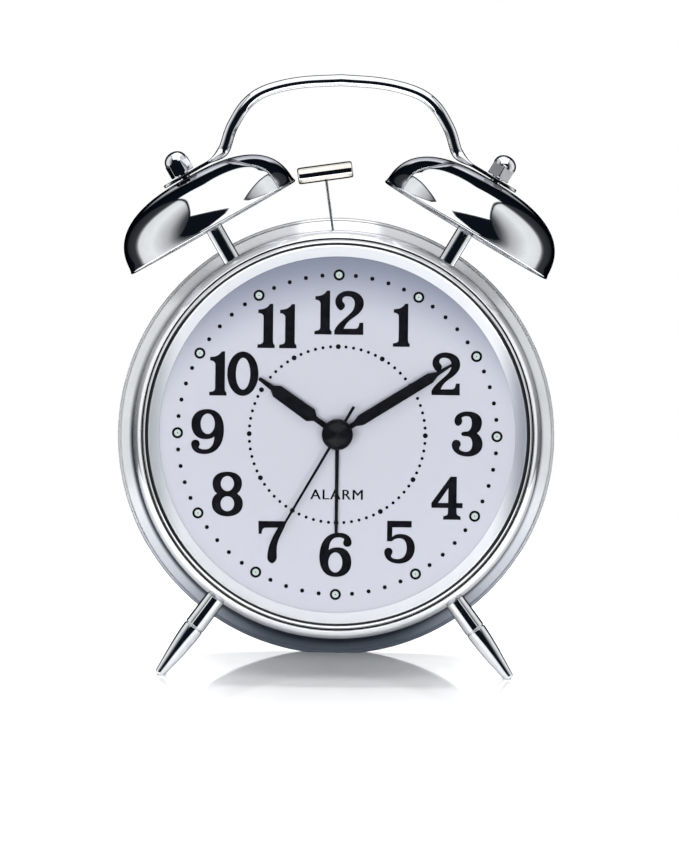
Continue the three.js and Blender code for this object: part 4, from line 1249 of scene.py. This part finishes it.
def switch_slider():
    """Ribbed button with a stem through the slot and a shoe behind the cover."""
    low, high = extent("alarm_switch")
    x, z = middle_of("alarm_switch")
    head = brick(x - 3, x + 3, 45.3, high.y, z - 2, z + 2, 0.3)
    ribs = [brick(rib - 0.25, rib + 0.25, high.y - 0.1, high.y + 0.3, z - 1.7, z + 1.7, 0.1)
            for rib in (x - 1.8, x - 0.6, x + 0.6, x + 1.8)]
    stem = brick(x - 1.2, x + 1.2, 42.0, 45.6, z - 1, z + 1, 0.1)
    shoe = brick(x - 2.2, x + 2.2, low.y, 42.7, z - 2, z + 2, 0.2)
    return joined(head, *ribs, stem, shoe)


def cover_screw(node):
    """Pan-head screw with a cross recess."""
    low, high = extent(node)
    x, z = middle_of(node)
    seat = 44.1
    profile = [(0, low.y), (1.1, low.y + 1), (1.1, seat, 0.02), (2.5, seat, 0.15), (2.4, seat + 0.9, 0.3),
               (1.6, seat + 1.4, 0.3), (0, high.y)]
    blank = turned(softened(profile, closed=False), 48)
    slots = [brick(-1.5, 1.5, 44.9, 46, -0.28, 0.28), brick(-0.28, 0.28, 44.9, 46, -1.5, 1.5)]
    head = worked(blank, "DIFFERENCE", *slots)
    head.transform(Matrix.Translation((x, 0, z)))
    return head


piece("rear_panel", rear_panel(), BLACK, stands_for="rear_cover")
piece("rear_marks", raised_marks(), BLACK, body="case")
piece("door_panel", door_panel(), BLACK, stands_for="battery_door")
for name, node in zip(("time_knob", "alarm_knob"), KNOBS):
    piece(name, setting_knob(node), BLACK, stands_for=node)
piece("switch_slider", switch_slider(), BLACK, stands_for="alarm_switch")
for node in SCREWS:
    piece(f"{node}_head", cover_screw(node), ZINC, stands_for=node)

# ---------------------------------------------------------------- inside the case

INSIDE = {
    NYLON: ["hammer_rocker", "cam_gear", "train_bridge", "intermediate_wheel", "second_wheel", "third_wheel",
            "motion_wheel", "alarm_setting_shaft"],
    ZINC: ["striker_bracket", "striker_motor", "stator", "rotor", "battery_contact_negative",
           "battery_contact_positive"],
    BRASS: ["minute_wheel", "hour_wheel", "alarm_wheel", "motor_pinion"],
    BLACK: ["movement_front_plate", "movement_housing"],
    COPPER: ["coil"],
    BOARD: ["circuit_board"],
    JACKET: ["battery_cell"],
}
for finish, nodes in INSIDE.items():
    for node in nodes:
        dressed(node, finish, 0.06)

# ---------------------------------------------------------------- studio


def floor():
    """Pale, slightly glossy table top."""
    made = Finish("table_top", (0.86, 0.86, 0.86), 0.0, 0.06)
    made.rough(made.noise(0.01, 3), 0.05, 0.09)
    made.colour(made.spread(made.noise(0.02, 4), 0, 1), (0.85, 0.855, 0.86), (0.88, 0.885, 0.89))
    made.shader.inputs["IOR"].default_value = 1.32
    half_width, front, rear = 0.2, -0.27, 0.14
    mesh = bpy.data.meshes.new("table_top")
    corners = [(-half_width, front, 0), (half_width, front, 0), (half_width, rear, 0), (-half_width, rear, 0)]
    mesh.from_pydata(corners, [], [(0, 1, 2, 3)])
    top = bpy.data.objects.new("table_top", mesh)
    top.data.materials.append(made.material)
    bpy.context.scene.collection.objects.link(top)


def lamp(name, place, aim, size, power):
    """A soft rectangular lamp aimed at a point, which the eye and the mirrors don't see."""
    data = bpy.data.lights.new(name, "AREA")
    data.shape = "RECTANGLE"
    data.size, data.size_y = size
    data.energy = power
    made = bpy.data.objects.new(name, data)
    bpy.context.scene.collection.objects.link(made)
    made.location = place
    made.rotation_euler = (Vector(aim) - Vector(place)).to_track_quat("-Z", "Y").to_euler()
    made.visible_glossy = False
    made.visible_camera = False


# Brightness across a side panel, by degrees round from the front
PANEL_SHADE = [
    (33, 0.002), (44, 0.07), (52, 0.25), (60, 0.47), (75, 0.7), (88, 0.88), (114, 0.82), (119, 0.2),
    (124, 0.04), (150, 0.03), (158, 0.002),
]
AMBIENT = (0.34, 0.34, 0.35)


def clock_bearings(sky):
    """Degrees round from the front and degrees up, in the clock's own frame."""
    turn = sky.node("ShaderNodeVectorRotate", rotation_type="X_AXIS")
    sky.put(turn.inputs["Vector"], sky.node("ShaderNodeTexCoord").outputs["Generated"])
    sky.put(turn.inputs["Angle"], LEAN)
    parts = sky.node("ShaderNodeSeparateXYZ")
    sky.put(parts.inputs[0], turn.outputs[0])
    x, y, z = parts.outputs
    bearing = sky.math("DEGREES", sky.math("ARCTAN2", sky.math("ABSOLUTE", x), sky.product(y, -1.0)))
    return bearing, sky.math("DEGREES", sky.math("ARCSINE", z))


def panel_shade(sky, bearing):
    """Brightness of the side panels, which changes from front to back."""
    shade = sky.node("ShaderNodeValToRGB")
    sky.put(shade.inputs["Fac"], sky.math("DIVIDE", bearing, 180.0))
    stops = shade.color_ramp.elements
    stops.remove(stops[1])
    for i, (degrees, value) in enumerate(PANEL_SHADE):
        stop = stops[0] if i == 0 else stops.new(degrees / 180)
        stop.position = degrees / 180
        stop.color = (value, value, value, 1)
    return shade.outputs["Color"]


def studio_sky():
    """Surroundings by direction: an overhead softbox, a round panel at each side, a strip low
    behind, and dark gaps between. The camera sees white, and matt surfaces a plain grey."""
    world = bpy.data.worlds.new("studio")
    bpy.context.scene.world = world
    world.use_nodes = True
    sky = Graph(world.node_tree)
    bearing, height = clock_bearings(sky)

    across = sky.math("DIVIDE", sky.math("SUBTRACT", bearing, 93.0), 57.0)
    upward = sky.math("DIVIDE", sky.math("SUBTRACT", height, 8.0), 43.0)
    from_middle = sky.length(across, upward)
    panel = sky.product(sky.step(from_middle, 1.01, 0.97), panel_shade(sky, bearing))

    low_edge = sky.math("MULTIPLY_ADD", sky.step(bearing, 108, 136), 37.0, 21.0)
    above_edge = sky.step(sky.math("SUBTRACT", height, low_edge), 0.0, 2.5)
    overhead = sky.product(above_edge, sky.step(from_middle, 1.02, 1.06), 1.2)

    behind = sky.product(sky.step(bearing, 160, 168), sky.step(height, 14, 18))
    strip = sky.product(behind, sky.step(height, 34, 30), 2.1)

    total = sky.math("ADD", sky.math("ADD", panel, overhead), strip)
    tinted = sky.blend(1.0, total, (0.98, 0.99, 1.0), "MULTIPLY")
    lit = sky.blend(1.0, tinted, (0.004, 0.006, 0.01), "ADD")
    rays = sky.node("ShaderNodeLightPath").outputs
    soft = sky.blend(rays["Is Diffuse Ray"], lit, AMBIENT)
    background = sky.tree.nodes["Background"]
    sky.put(background.inputs["Color"], sky.blend(rays["Is Camera Ray"], soft, (1.0, 1.0, 1.0)))


def camera():
    """A long lens along the dial's axis, rolled slightly."""
    data = bpy.data.cameras.new("camera")
    made = bpy.data.objects.new("camera", data)
    bpy.context.scene.collection.objects.link(made)
    distance, seen_height = 7.5, 0.2239
    azimuth, elevation, roll = math.radians(-0.5), LEAN - math.radians(0.5), math.radians(0.8)
    level = Vector((math.sin(azimuth), -math.cos(azimuth), 0))
    away = level * math.cos(elevation) + Vector((0, 0, math.sin(elevation)))
    turn = (-away).to_track_quat("-Z", "Y").to_matrix().to_4x4() @ Matrix.Rotation(roll, 4, "Z")
    aim_offset = Vector((0.0005, 0.0018, 0))
    target = DIAL_CENTRE + turn.to_3x3() @ aim_offset
    made.matrix_world = Matrix.Translation(target + away * distance) @ turn
    data.lens = data.sensor_width * distance / seen_height
    data.clip_start, data.clip_end = 0.01, 50
    bpy.context.scene.camera = made


floor()
studio_sky()
lamp("top", (0, 0.5, 1.5), (0, 0.0, 0), (1.8, 1.2), 40)
lamp("fill", (-0.1, -1.6, 0.22), (0, 0, 0.07), (1.2, 0.5), 41)
lamp("front_top", (0, -0.8, 1.2), (0, 0, 0.07), (1.2, 0.6), 8)
camera()
bpy.context.scene.view_settings.view_transform = "Standard"
bpy.context.scene.view_settings.look = "None"
